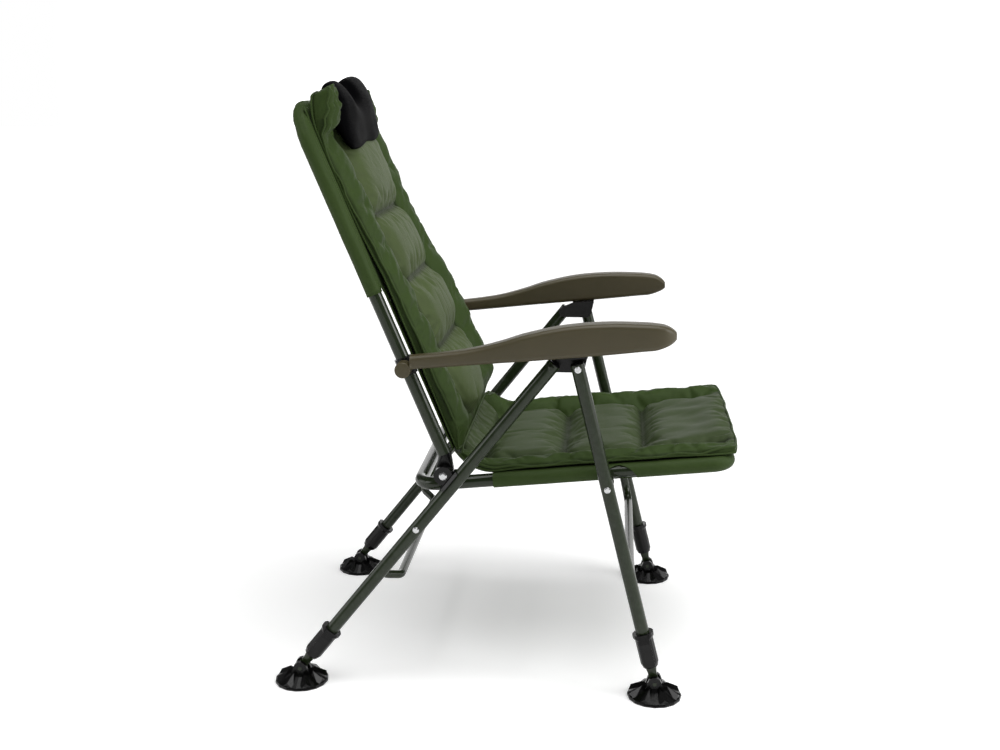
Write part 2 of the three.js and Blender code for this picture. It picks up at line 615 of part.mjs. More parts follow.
const through = (y) => [y - TUBE_R - WELD, y + TUBE_R + WELD];
pair('rear_leg_tube', legTube(REAR_FOOT, REAR_UP, REAR_TOP_PIN, REAR_LEG_Y)
  .subtract(drill(REAR_TOP_PIN, ...through(REAR_LEG_Y)))
  .subtract(drill(REAR_BAR_PIN, ...through(REAR_LEG_Y))), GREEN_PAINT);
const legAtHinge = REAR_FOOT.clone().addScaledVector(REAR_UP, HINGE.clone().sub(REAR_FOOT).dot(REAR_UP));
const saddleEnd = (halves) => across(
  legAtHinge.clone().addScaledVector(REAR_UP, SADDLE_LEN / 2 * halves),
  REAR_LEG_Y,
);
const bracketOut = REAR_LEG_Y + TUBE_R / 2;
const offLeg = at(-REAR_UP.z, 0, REAR_UP.x);
const saddleEdge = HINGE.clone().lerp(legAtHinge, SADDLE_SHARE).dot(offLeg);
const rearBracket = acrossRod(DISC_R, HINGE, PLUG_OUT + GAP, bracketOut)
  .add(rod(TUBE_R + GAP + SADDLE_T, saddleEnd(-1), saddleEnd(1)).trimByPlane(offLeg.toArray(), saddleEdge))
  .subtract(rod(TUBE_R + GAP, saddleEnd(-2), saddleEnd(2)))
  .trimByPlane([0, 1, 0], PLUG_OUT + GAP)
  .subtract(drill(HINGE, PLUG_IN, bracketOut + WELD));
pair('rear_hinge_bracket', rearBracket, BLACK_PLASTIC);

// Domed caps in the top ends of the legs.
const topCap = (top, up, y) => {
  const end = across(top.clone().addScaledVector(up, LEG_TOP_PAST), y);
  const lip = end.clone().addScaledVector(up, GAP);
  return turned([
    [0, -2 * CAP_T], [BORE_R - GAP, -2 * CAP_T], [BORE_R - GAP, GAP], [TUBE_R, GAP],
    [TUBE_R - CAP_T / 2, CAP_T], [0, CAP_T],
  ], end, lip);
};
pair('rear_leg_cap', topCap(REAR_TOP_PIN, REAR_UP, REAR_LEG_Y), BLACK_PLASTIC);

// Rear stretcher: a U of thin tube, riveted inside the rear legs, that swings forwards out of their line.
const rearBarTop = REAR_BAR_PIN.clone().addScaledVector(REAR_UP, EYE_R / 2);
const rearBarLow = REAR_BAR_PIN.clone().addScaledVector(REAR_UP, -REAR_BAR_RUN_LENGTH);
const rearBar = at(REAR_BAR_X, 0, REAR_BAR_Z);
const rearBarCorners = [
  across(rearBarTop, REAR_BAR_Y),
  across(rearBarLow, REAR_BAR_Y),
  across(rearBar, REAR_BAR_Y - REAR_BAR_INSET),
  across(rearBar, REAR_BAR_INSET - REAR_BAR_Y),
  across(rearBarLow, -REAR_BAR_Y),
  across(rearBarTop, -REAR_BAR_Y),
];
const rearBarRoute = new Route(rearBarCorners, [REAR_BEND_R, REAR_BEND_R, REAR_BEND_R, REAR_BEND_R]);
let rearStretcher = bentTube(rearBarRoute, REAR_BAR_R, 0, BAR_SIDES);
for (const side of [1, -1]) {
  const inner = side * (REAR_BAR_Y - REAR_BAR_R - WELD);
  rearStretcher = rearStretcher.subtract(drill(REAR_BAR_PIN, inner, side * (REAR_BAR_Y + REAR_BAR_R + WELD)));
}
piece('rear_stretcher', rearStretcher, GREEN_PAINT);

// Front legs: straight tubes with a rivet at the top and one at the seat.
pair('front_leg_tube', legTube(FRONT_FOOT, FRONT_UP, ARM_PIN, FRONT_LEG_Y)
  .subtract(drill(ARM_PIN, ...through(FRONT_LEG_Y)))
  .subtract(drill(FRONT_PIVOT, ...through(FRONT_LEG_Y))), GREEN_PAINT);
pair('front_leg_cap', topCap(ARM_PIN, FRONT_UP, FRONT_LEG_Y), BLACK_PLASTIC);

// Front stretcher: a U of thin tube that hangs from the front leg pivots on two flat eyes.
const frontLow = onLine(FRONT_FOOT, ARM_PIN, FRONT_BAR_Z).add(at(-FRONT_BAR_BACK, 0, 0));
const frontBarTop = FRONT_PIVOT.clone().addScaledVector(FRONT_UP, -EYE_R / 2);
const frontBarCorners = [
  across(frontBarTop, FRONT_BAR_Y),
  across(frontLow, FRONT_BAR_Y),
  across(frontLow, -FRONT_BAR_Y),
  across(frontBarTop, -FRONT_BAR_Y),
];
const frontBarRoute = new Route(frontBarCorners, [BAR_BEND_R, BAR_BEND_R]);
let frontStretcher = bentTube(frontBarRoute, FRONT_BAR_R, 0, BAR_SIDES);
const eyeOut = FRONT_BAR_Y + FRONT_BAR_R;
const eyeIn = eyeOut - EYE_T;
const eyeClear = EYE_R + GAP;
for (const side of [1, -1]) {
  const barIn = FRONT_BAR_Y - FRONT_BAR_R - WELD;
  const shoulder = acrossRod(eyeClear, FRONT_PIVOT, side * barIn, side * eyeIn);
  const eye = acrossRod(EYE_R, FRONT_PIVOT, side * eyeIn, side * eyeOut);
  frontStretcher = frontStretcher.subtract(shoulder)
    .add(eye)
    .subtract(drill(FRONT_PIVOT, side * SEAT_HALF, side * FRONT_LEG_Y));
}
piece('front_stretcher', frontStretcher, GREEN_PAINT);

// A closed skin over a row of loops with equal numbers of points.
function loft(loops) {
  const count = loops[0].length;
  const points = loops.flat();
  const indices = [];
  for (let i = 0; i < loops.length - 1; i += 1) {
    for (let j = 0; j < count; j += 1) {
      const a = i * count + j;
      const b = i * count + (j + 1) % count;
      indices.push(a, b, b + count, a, b + count, a + count);
    }
  }
  for (const [start, flip] of [[0, true], [(loops.length - 1) * count, false]]) {
    for (let j = 1; j < count - 1; j += 1) {
      indices.push(start, ...(flip ? [start + j + 1, start + j] : [start + j, start + j + 1]));
    }
  }
  const geometry = new THREE.BufferGeometry().setFromPoints(points);
  geometry.setIndex(indices);
  return solid(geometry);
}

// Armrests: a rounded section that widens forwards, with a knuckle at the rear that turns on the clamp drum.
const armRear = CLAMP.x + ARM_ROOT;
const armTip = ARM_PIN_X + ARM_TIP_AHEAD;
const armPlace = ([along, high, low, width]) => [
  armRear + (armTip - armRear) * along,
  ARM_PIN_Z + ARM_DEEP * high,
  ARM_PIN_Z + ARM_DEEP * low,
  ARM_WIDE * width,
];
const armStations = ARM_LINE_SHARES.map((shares) => {
  const [x, high, low, width] = armPlace(shares);
  const r = Math.min(ARM_ROUND, (high - low) * ROUND_SHARE, width * ROUND_SHARE);
  const corners = [
    [ARM_INNER + r, low + r, Math.PI, 1.5 * Math.PI],
    [ARM_INNER + width - r, low + r, 1.5 * Math.PI, 2 * Math.PI],
    [ARM_INNER + width - r, high - r, 0, Math.PI / 2],
    [ARM_INNER + r, high - r, Math.PI / 2, Math.PI],
  ];
  return corners.flatMap(([y, z, from, to]) => [0, 1, 2, 3].map((k) => {
    const angle = from + (to - from) * k / 3;
    return at(x, y + r * Math.cos(angle), z + r * Math.sin(angle));
  }));
});
const knuckle = acrossRod(KNUCKLE_R, CLAMP, ARM_INNER, ARM_INNER + ARM_NARROW);
const armrest = loft(armStations)
  .add(wasm.Manifold.hull([knuckle, loft(armStations.slice(0, 2))]))
  .subtract(drill(CLAMP, ARM_INNER - WELD, ARM_INNER + DRUM_LEN, DRUM_R + GAP, TUBE_SIDES));
pair('armrest', armrest, ARM_PLASTIC);

// Armrest brackets: a plate beside the leg tops that hangs from a flange under the armrest.
const underAt = (x) => {
  const [a, b] = [armPlace(ARM_LINE_SHARES[UNDER_FROM]), armPlace(ARM_LINE_SHARES[UNDER_TO])];
  return at(x, 0, a[2] + (b[2] - a[2]) * (x - a[0]) / (b[0] - a[0]) - GAP);
};
const flangeEnds = [underAt(REAR_TOP_PIN.x + PLATE_HALF + WELD), underAt(ARM_PIN.x + PLATE_HALF)];
const below = (p, d) => p.clone().add(at(0, 0, -d));
const flangeOutline = [...flangeEnds, below(flangeEnds[1], FLANGE_T), below(flangeEnds[0], FLANGE_T)];
const plateIn = PLATE_OUT - PLATE_T;
const flange = slab(flangeOutline, plateIn, ARM_INNER + ARM_WIDE * FLANGE_SHARE);
const plate = wasm.Manifold.hull([
  slab(flangeOutline, plateIn, PLATE_OUT),
  acrossRod(2 * HEAD_R, ARM_PIN, plateIn, PLATE_OUT),
  acrossRod(2 * HEAD_R, REAR_TOP_PIN, plateIn, PLATE_OUT),
]);
pair('armrest_bracket', joined(flange, plate), BLACK_PLASTIC);

// Clamps: a sleeve that slides on the back tube, with a boss that carries the drum of the armrest knuckle.
const clampEnd = (halves) => onBack(CLAMP_AT + CLAMP_LEN / 2 * halves, 0, BACK_HALF);
const clampSleeve = rod(TUBE_R + GAP + CLAMP_WALL, clampEnd(-1), clampEnd(1))
  .add(acrossRod(DRUM_R, CLAMP, BACK_HALF, ARM_INNER - GAP))
  .subtract(rod(TUBE_R + GAP, clampEnd(-2), clampEnd(2)));
pair('clamp_sleeve', clampSleeve, BLACK_PLASTIC);
pair('clamp_drum', acrossRod(DRUM_R, CLAMP, ARM_INNER, ARM_INNER + DRUM_LEN - GAP), BLACK_PLASTIC);

// Rivets: a pin with a domed head on the outside, drawn from its inner end outwards.
function rivet(p, from, to, headR, spacer = []) {
  const length = to - from;
  const [start, end] = spacer.map((y) => y - from);
  const wide = spacer.length ? [[RIVET_R, start], [HEAD_R, start], [HEAD_R, end], [RIVET_R, end]] : [];
  return turned([
    [0, 0], [RIVET_R, 0], ...wide,
    [RIVET_R, length], [headR, length], [headR, length + HEAD_T * HEAD_SHARE],
    [headR * DOME_SHARE, length + HEAD_T], [0, length + HEAD_T],
  ], across(p, from), across(p, to), PIN_SIDES);
}
const frontHead = FRONT_LEG_Y + TUBE_R + GAP;
const rearHead = REAR_LEG_Y + TUBE_R + GAP;
const pivotSpacer = [LUG_OUT + GAP, eyeIn - GAP];
const lugPin = LUG_IN + WELD + GAP;
pair('hinge_rivet', rivet(HINGE, lugPin, bracketOut + GAP, HINGE_HEAD_R), ZINC);
pair('front_pivot_rivet', rivet(FRONT_PIVOT, lugPin, frontHead, HEAD_R, pivotSpacer), ZINC);
const armSpacer = [PLATE_OUT + GAP + WELD, FRONT_LEG_Y - TUBE_R - GAP];
pair('arm_pin_rivet', rivet(ARM_PIN, PLATE_OUT + GAP, frontHead, HEAD_R, armSpacer), ZINC);
pair('rear_top_rivet', rivet(REAR_TOP_PIN, PLATE_OUT + GAP, rearHead, HEAD_R), ZINC);
pair('rear_bar_rivet', rivet(REAR_BAR_PIN, REAR_BAR_Y - REAR_BAR_R + WELD, rearHead, HEAD_R), ZINC);

// Feet: each leg ends in a clamp collar with a lever, an inner leg that slides in it and a swivelling foot.
const INNER_R = BORE_R - GAP;
const legEnds = [
  ['rear', REAR_FOOT, REAR_UP, REAR_LEG_Y],
  ['front', FRONT_FOOT, FRONT_UP, FRONT_LEG_Y],
];
for (const [end, pivot, up, y] of legEnds) {
  const centre = across(pivot, y);
  const along = (s) => centre.clone().addScaledVector(up, s);
  const collarTop = COLLAR_FROM + COLLAR_LEN;
  const ledge = COLLAR_FROM + COLLAR_SEAT;
  const flat = COLLAR_R - LEVER_T / 2;
  const sideways = at(up.z, 0, -up.x);
  const panel = (near, far, low, high, half) => {
    const corners = [low, high].flatMap((s) => [-half, half].flatMap((w) => [near, far].map((d) => along(s)
      .addScaledVector(sideways, w).add(at(0, d, 0)).toArray())));
    return wasm.Manifold.hull(corners);
  };
  const collar = turned([
    [BORE_R, COLLAR_FROM], [COLLAR_R - COLLAR_LIP, COLLAR_FROM], [COLLAR_R, COLLAR_FROM + 3 * COLLAR_LIP],
    [COLLAR_R, collarTop - 4 * COLLAR_LIP], [COLLAR_R + COLLAR_LIP, collarTop - 2 * COLLAR_LIP],
    [COLLAR_R + COLLAR_LIP, collarTop], [TUBE_R + GAP, collarTop],
    [TUBE_R + GAP, ledge], [BORE_R, ledge], [BORE_R, COLLAR_FROM],
  ], centre, along(WELD))
    .subtract(panel(flat, 2 * COLLAR_R, ledge - LEVER_LEN / 2 - GAP, collarTop + WELD, 2 * COLLAR_R));
  pair(end + '_collar', collar, BLACK_PLASTIC);
  const lever = wasm.Manifold.hull([
    panel(flat + GAP, flat + GAP + LEVER_T, ledge - LEVER_LEN / 2, ledge + LEVER_LEN / 2, LEVER_W / 2),
    panel(flat + GAP, flat + GAP + LEVER_T / 2, ledge - LEVER_LEN / 2, collarTop, LEVER_W / 2),
  ]);
  pair(end + '_lock_lever', lever, BLACK_PLASTIC);
  const neck = (s) => [-TONGUE_HALF, TONGUE_HALF].map((d) => along(s).add(at(0, d, 0)));
  const tongue = wasm.Manifold.hull([rod(TONGUE_R, ...neck(0)), rod(TONGUE_R, ...neck(CHEEK_R + TONGUE_R))])
    .add(wasm.Manifold.hull([
      rod(TONGUE_R, ...neck(CHEEK_R + TONGUE_R)),
      rod(INNER_R, along(COLLAR_FROM - WELD), along(COLLAR_FROM), BAR_SIDES),
    ]));
  const reach = TONGUE_HALF + GAP + CHEEK_T;
  const innerLeg = turned([
    [0, COLLAR_FROM - WELD], [INNER_R, COLLAR_FROM - WELD], [INNER_R, INNER_LEG_TOP],
    [INNER_R - WALL, INNER_LEG_TOP], [INNER_R - WALL, COLLAR_FROM + WALL], [0, COLLAR_FROM + WALL],
  ], centre, along(WELD), BAR_SIDES).add(tongue).add(drill(pivot, y - reach, y + reach, RIVET_R));
  pair(end + '_inner_leg', innerLeg, GREEN_PAINT);
  const ground = centre.clone().setZ(0);
  let foot = turned([
    [0, 0], [FOOT_R - WELD, 0], [FOOT_R, FOOT_RIM / 2], [FOOT_R - WELD, FOOT_RIM],
    [FOOT_R / 2, FOOT_DOME - PETAL_RISE / 2], [TONGUE_R, FOOT_DOME], [0, FOOT_DOME],
  ], ground, centre, PETALS * 2);
  for (let k = 0; k < PETALS; k += 1) {
    const angle = 2 * Math.PI * (k + 0.5) / PETALS;
    const spot = (r, w, z) => [
      ground.x + r * Math.cos(angle) - w * Math.sin(angle), y + r * Math.sin(angle) + w * Math.cos(angle), z,
    ];
    const petalOut = FOOT_R - PETAL_RISE / 2;
    foot = foot.add(wasm.Manifold.hull([
      spot(TONGUE_R, 0, FOOT_DOME), spot(TONGUE_R, 0, 0), spot(petalOut, 0, FOOT_RIM + PETAL_RISE),
      spot(FOOT_R / 2, 0, FOOT_DOME + PETAL_RISE / 2),
      spot(petalOut, PETAL_RISE * 2, FOOT_RIM / 2), spot(petalOut, -PETAL_RISE * 2, FOOT_RIM / 2),
    ]));
  }
  for (const side of [1, -1]) {
    const near = y + side * (TONGUE_HALF + GAP);
    const far = near + side * CHEEK_T;
    const low = at(pivot.x, 0, FOOT_DOME / 2);
    foot = foot.add(wasm.Manifold.hull([
      acrossRod(CHEEK_R, pivot, near, far),
      acrossRod(CHEEK_BASE_R, low, near, far).trimByPlane([0, 0, 1], FOOT_RIM),
    ]));
  }
  const slot = TONGUE_HALF + GAP;
  foot = foot.subtract(drill(pivot, y - slot, y + slot, TONGUE_R + 2 * GAP, TUBE_SIDES))
    .subtract(drill(pivot, y - 2 * reach, y + 2 * reach));
  pair(end + '_foot', foot, BLACK_PLASTIC);
}

// The part sits on the ground plane with the middle of its bounding box on the upright axis.
const box = new THREE.Box3().setFromObject(chair);
const middle = box.getCenter(at(0, 0, 0));
chair.children.forEach((mesh) => mesh.geometry.translate(-middle.x, 0, -box.min.z));

export default chair;
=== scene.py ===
import json
import math
import bisect
import bmesh
import bpy
from mathutils import Matrix, Vector, noise


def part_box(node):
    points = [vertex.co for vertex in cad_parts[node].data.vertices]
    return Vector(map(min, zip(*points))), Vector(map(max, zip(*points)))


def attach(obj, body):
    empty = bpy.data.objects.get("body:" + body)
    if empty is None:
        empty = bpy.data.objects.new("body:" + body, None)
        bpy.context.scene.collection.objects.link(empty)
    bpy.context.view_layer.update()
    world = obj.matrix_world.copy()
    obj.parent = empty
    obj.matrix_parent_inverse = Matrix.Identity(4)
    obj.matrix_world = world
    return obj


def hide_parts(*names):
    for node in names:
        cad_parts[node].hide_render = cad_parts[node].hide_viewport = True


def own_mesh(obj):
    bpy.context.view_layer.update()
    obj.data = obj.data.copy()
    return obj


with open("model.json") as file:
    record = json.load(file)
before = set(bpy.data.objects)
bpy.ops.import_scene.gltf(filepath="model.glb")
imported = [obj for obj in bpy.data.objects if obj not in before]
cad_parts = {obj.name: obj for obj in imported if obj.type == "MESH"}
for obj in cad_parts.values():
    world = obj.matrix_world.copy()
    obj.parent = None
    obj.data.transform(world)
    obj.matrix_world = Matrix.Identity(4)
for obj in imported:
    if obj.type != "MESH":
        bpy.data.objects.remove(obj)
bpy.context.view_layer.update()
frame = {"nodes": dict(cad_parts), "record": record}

# Camera: at the photograph's angle, level with the headrest on the chair's right side.
# It looks slightly down, and is turned a little towards the front.
camera = bpy.data.objects.new("camera", bpy.data.cameras.new("camera"))
camera.data.sensor_width = 36
camera.data.lens = 46.33
camera.location = (0.199, -2.534, 1.120)
camera.rotation_euler = (math.radians(77.19), 0, math.radians(5.08))
bpy.context.scene.collection.objects.link(camera)
bpy.context.scene.camera = camera

# Seat frame: 25 mm steel tube bent into one loop, powder coated a glossy dark green.
# It is tilted up a little at the front, with lugs welded on for the hinge and the front leg rivet.
SIDES = {"L": 1, "R": -1}
TUBE_R = 0.0125
SEAT_TILT = math.radians(5.8)
SEAT_UNDER = 0.029
HINGE_BEHIND = 0.0553
SEAT_HALF = 0.248
SEAT_REAR = -0.112
SEAT_FRONT = 0.463
SEAT_BEND = 0.045
SEAT_JOINT_GAP = 0.0005
LUG_THICK = 0.004
LUG_SUNK = 0.001
LUG_PIN_R = 0.012
LUG_FOOT_R = 0.0084
forwards = Vector((math.cos(SEAT_TILT), 0, math.sin(SEAT_TILT)))
upwards = Vector((-math.sin(SEAT_TILT), 0, math.cos(SEAT_TILT)))
across = Vector((0, 1, 0))


def middle_of(node):
    low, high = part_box(node)
    return (low + high) / 2


def in_plane(point):
    return Vector((point.x, 0, point.z))


hinge = in_plane(middle_of("hinge_washer_L"))
front_pivot = in_plane(middle_of("front_pivot_rivet_L"))


def on_seat(x, y, above):
    """A point by its place along the seat, across it, and above the axes of the seat's tubes."""
    return hinge + forwards * (x + HINGE_BEHIND) + upwards * (above - SEAT_UNDER) + Vector((0, y, 0))


def colour(code):
    """A colour written as six hexadecimal digits, in the linear values that a shader takes."""
    parts = [int(code[i:i + 2], 16) / 255 for i in (0, 2, 4)]
    return [c / 12.92 if c <= 0.04045 else ((c + 0.055) / 1.055) ** 2.4 for c in parts] + [1]


def effect(name, inputs, outputs):
    """An empty shader node group with its input and output nodes."""
    group = bpy.data.node_groups.new(name, "ShaderNodeTree")
    for label, kind, value in inputs:
        socket = group.interface.new_socket(label, in_out="INPUT", socket_type=kind)
        if value is not None:
            socket.default_value = value
    for label, kind in outputs:
        group.interface.new_socket(label, in_out="OUTPUT", socket_type=kind)
    return group, group.nodes.new("NodeGroupInput"), group.nodes.new("NodeGroupOutput")


def node(tree, kind, links=(), **values):
    """Adds a node, sets its properties, and fills its inputs, by name or number, from values or sockets."""
    made = tree.nodes.new(kind)
    for key, value in values.items():
        setattr(made, key, value)
    for place, source in dict(links).items():
        socket = made.inputs[place]
        if isinstance(source, bpy.types.NodeSocket):
            tree.links.new(source, socket)
        else:
            socket.default_value = source
    return made


# Surface grain: how high and how dark a fine random texture is at each place.
grain, taken, given = effect(
    "surface_grain",
    [("Vector", "NodeSocketVector", None), ("Size", "NodeSocketFloat", 900.0)],
    [("Height", "NodeSocketFloat"), ("Patches", "NodeSocketFloat")],
)
place, size = taken.outputs["Vector"], taken.outputs["Size"]
fine = node(grain, "ShaderNodeTexNoise", {"Vector": place, "Scale": size, "Detail": 3.0, "Roughness": 0.6})
broad = node(grain, "ShaderNodeTexNoise", {"Vector": place, "Scale": 14.0, "Detail": 4.0})
grain.links.new(fine.outputs["Fac"], given.inputs["Height"])
grain.links.new(broad.outputs["Fac"], given.inputs["Patches"])

# Scuffs: a mask of rubbed places, stronger on convex edges.
scuffs, taken, given = effect(
    "scuffs",
    [("Vector", "NodeSocketVector", None), ("Amount", "NodeSocketFloat", 0.5)],
    [("Mask", "NodeSocketFloat")],
)
bent = node(scuffs, "ShaderNodeNewGeometry").outputs["Pointiness"]
edge = node(scuffs, "ShaderNodeMapRange", {"Value": bent, "From Min": 0.52, "From Max": 0.6})
worn = node(scuffs, "ShaderNodeTexNoise", {"Vector": taken.outputs["Vector"], "Scale": 90.0, "Detail": 5.0})
patch = node(scuffs, "ShaderNodeMapRange", {"Value": worn.outputs["Fac"], "From Min": 0.45, "From Max": 0.7})
both = node(scuffs, "ShaderNodeMath", {0: edge.outputs[0], 1: patch.outputs[0]}, operation="MULTIPLY")
part = node(scuffs, "ShaderNodeMath", {0: both.outputs[0], 1: taken.outputs["Amount"]}, operation="MULTIPLY")
scuffs.links.new(part.outputs[0], given.inputs["Mask"])


def new_material(name, constants):
    """A material with its shader's plain values set, and the tree and shader to build on."""
    material = bpy.data.materials.new(name)
    material.use_nodes = True
    tree = material.node_tree
    shader = tree.nodes["Principled BSDF"]
    for key, value in constants.items():
        shader.inputs[key.replace("_", " ")].default_value = value
    return material, tree, shader


def mixed(tree, share, first, second, blend="MIX"):
    """The mix of two colours, each a socket or a value."""
    links = {"Factor": share, 6: first, 7: second}
    return node(tree, "ShaderNodeMix", links, data_type="RGBA", blend_type=blend).outputs[2]


def surfaced(tree, shader, base, patches, rough, height, bump, depth):
    """Joins a base colour, a gloss that follows the patches, and a fine bump to a shader."""
    tree.links.new(base, shader.inputs["Base Color"])
    gloss = node(tree, "ShaderNodeMapRange", {"Value": patches, "To Min": rough[0], "To Max": rough[1]})
    tree.links.new(gloss.outputs["Result"], shader.inputs["Roughness"])
    relief = node(tree, "ShaderNodeBump", {"Height": height, "Strength": bump, "Distance": depth})
    tree.links.new(relief.outputs["Normal"], shader.inputs["Normal"])


def finish_of(name, low, high, rough, bump, size, wear=None, worn_colour=None, **constants):
    """A hard finish: two shades in broad patches, fine grain in the gloss and the bump, and rubbed edges."""
    material, tree, shader = new_material(name, constants)
    place = node(tree, "ShaderNodeTexCoord").outputs["Object"]
    texture = node(tree, "ShaderNodeGroup", node_tree=grain)
    tree.links.new(place, texture.inputs["Vector"])
    texture.inputs["Size"].default_value = size
    patches = texture.outputs["Patches"]
    base = mixed(tree, patches, colour(low), colour(high))
    if wear:
        rubbed = node(tree, "ShaderNodeGroup", node_tree=scuffs)
        tree.links.new(place, rubbed.inputs["Vector"])
        rubbed.inputs["Amount"].default_value = wear
        base = mixed(tree, rubbed.outputs["Mask"], base, colour(worn_colour))
    surfaced(tree, shader, base, patches, rough, texture.outputs["Height"], bump, 0.0004)
    return material


green_paint = finish_of("green_paint", "1b2413", "202917", rough=(0.24, 0.28), bump=0.02, size=700.0,
                        wear=0.12, worn_colour="4c544a", Coat_Weight=0.42, Coat_Roughness=0.06,
                        Specular_IOR_Level=0.16)


def linked(name, bm):
    """An object in the scene with a bmesh's shape."""
    mesh = bpy.data.meshes.new(name)
    bm.to_mesh(mesh)
    bm.free()
    made = bpy.data.objects.new(name, mesh)
    bpy.context.scene.collection.objects.link(made)
    return made


def dressed(piece, material, body, replaced, sharp):
    """Gives a piece its material, smooth faces between edges sharper than so many degrees, and its body."""
    mesh = piece.data
    mesh.materials.clear()
    mesh.materials.append(material)
    mesh.polygons.foreach_set("use_smooth", [True] * len(mesh.polygons))
    mesh.set_sharp_from_angle(angle=math.radians(sharp))
    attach(piece, body)
    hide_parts(*replaced)


def finished(name, bm, material, body, replaced=(), sharp=38):
    """Makes a piece of a bmesh, with its faces turned outwards."""
    bmesh.ops.recalc_face_normals(bm, faces=bm.faces)
    piece = linked(name, bm)
    dressed(piece, material, body, replaced, sharp)
    return piece


def aimed(start, heading):
    """A matrix that takes Z along a heading, from a start point."""
    return Matrix.Translation(start) @ heading.to_track_quat("Z", "Y").to_matrix().to_4x4()


def bent_tube(bm, corners, bends, radius, sides=32, bend_steps=12, step=None):
    """A ring pulled along straights, in steps of about so long, spun round bends and closed at its ends."""
    heading = (corners[1] - corners[0]).normalized()
    made = bmesh.ops.create_circle(bm, segments=sides, radius=radius, matrix=aimed(corners[0], heading))
    ring = list({e for v in made["verts"] for e in v.link_edges})
    ends = [ring]
    here = corners[0]
    for i in range(1, len(corners)):
        last = i == len(corners) - 1
        after = heading if last else (corners[i + 1] - corners[i]).normalized()
        turn = heading.angle(after)
        reach = 0 if last else bends[i - 1] * math.tan(turn / 2)
        stop = corners[i] - heading * reach
        pulls = max(1, round((stop - here).length / step)) if step else 1
        for pull in range(pulls):
            grown = bmesh.ops.extrude_edge_only(bm, edges=ring)["geom"]
            verts = {g for g in grown if isinstance(g, bmesh.types.BMVert)}
            bmesh.ops.translate(bm, verts=list(verts), vec=(stop - here) / pulls)
            ring = [g for g in grown if isinstance(g, bmesh.types.BMEdge) and verts.issuperset(g.verts)]
        if not last:
            axis = heading.cross(after).normalized()
            centre = stop + axis.cross(heading) * bends[i - 1]
            verts = list({v for e in ring for v in e.verts})
            spun = bmesh.ops.spin(bm, geom=verts + ring, cent=centre, axis=axis, angle=turn, steps=bend_steps)
            ring = [g for g in spun["geom_last"] if isinstance(g, bmesh.types.BMEdge)]
            here = corners[i] + after * reach
            heading = after
    ends.append(ring)
    for end in ends:
        bmesh.ops.contextual_create(bm, geom=end)


def disc(bm, centre, radius, depth, segments):
    """A round plate that faces sideways."""
    return bmesh.ops.create_cone(bm, cap_ends=True, segments=segments, radius1=radius, radius2=radius,
                                 depth=depth, matrix=aimed(centre, across))["verts"]


def lug(bm, pin, foot, inner, outer, foot_r):
    """A flat plate between two round ends, welded on at its foot."""
    rounds = []
    for place, radius in ((pin, LUG_PIN_R), (foot, foot_r)):
        middle = Vector((place.x, (inner + outer) / 2, place.z))
        rounds += disc(bm, middle, radius, abs(outer - inner), 32)
    hull = bmesh.ops.convex_hull(bm, input=rounds)
    spare = [g for g in hull["geom_interior"] if isinstance(g, bmesh.types.BMVert)]
    bmesh.ops.delete(bm, geom=spare, context="VERTS")


def along_seat(point):
    """How far a point lies along the seat."""
    return (point - hinge).dot(forwards) - HINGE_BEHIND


bm = bmesh.new()
half_loop = [(SEAT_FRONT, SEAT_JOINT_GAP), (SEAT_FRONT, SEAT_HALF), (SEAT_REAR, SEAT_HALF)]
loop = half_loop + [(x, -y) for x, y in reversed(half_loop)]
bent_tube(bm, [on_seat(x, y, 0) for x, y in loop], [SEAT_BEND] * 4, TUBE_R)
lug_in = SEAT_HALF + TUBE_R - LUG_SUNK
lug_out = lug_in + LUG_THICK
for side in SIDES.values():
    for pin in (hinge, front_pivot):
        lug(bm, pin, on_seat(along_seat(pin), 0, 0), side * lug_in, side * lug_out, LUG_FOOT_R)
finished("seat_frame", bm, green_paint, "seat", ["seat_frame_tube"])

# Back frame: the same steel tube and paint, bent into an arch that leans back.
# Its feet are plugged by the moulded hinges, on which it turns.
BACK_LEAN = math.radians(22.7)
BACK_AHEAD = 0.0121
BACK_HALF = 0.268
BACK_FROM = 0.032
BACK_TOP = 0.705
BACK_BEND = 0.070
back_up = Vector((-math.sin(BACK_LEAN), 0, math.cos(BACK_LEAN)))
back_out = Vector((math.cos(BACK_LEAN), 0, math.sin(BACK_LEAN)))


def on_back(t, n, y=0.0):
    """A point by its place up the back, in front of the axes of the back's tubes, and across."""
    return hinge + back_up * t + back_out * (BACK_AHEAD + n) + Vector((0, y, 0))


bm = bmesh.new()
arch = [(BACK_FROM, BACK_HALF), (BACK_TOP, BACK_HALF), (BACK_TOP, -BACK_HALF), (BACK_FROM, -BACK_HALF)]
bent_tube(bm, [on_back(t, 0, y) for t, y in arch], [BACK_BEND] * 2, TUBE_R)
finished("back_frame", bm, green_paint, "backrest", ["back_frame_tube"])

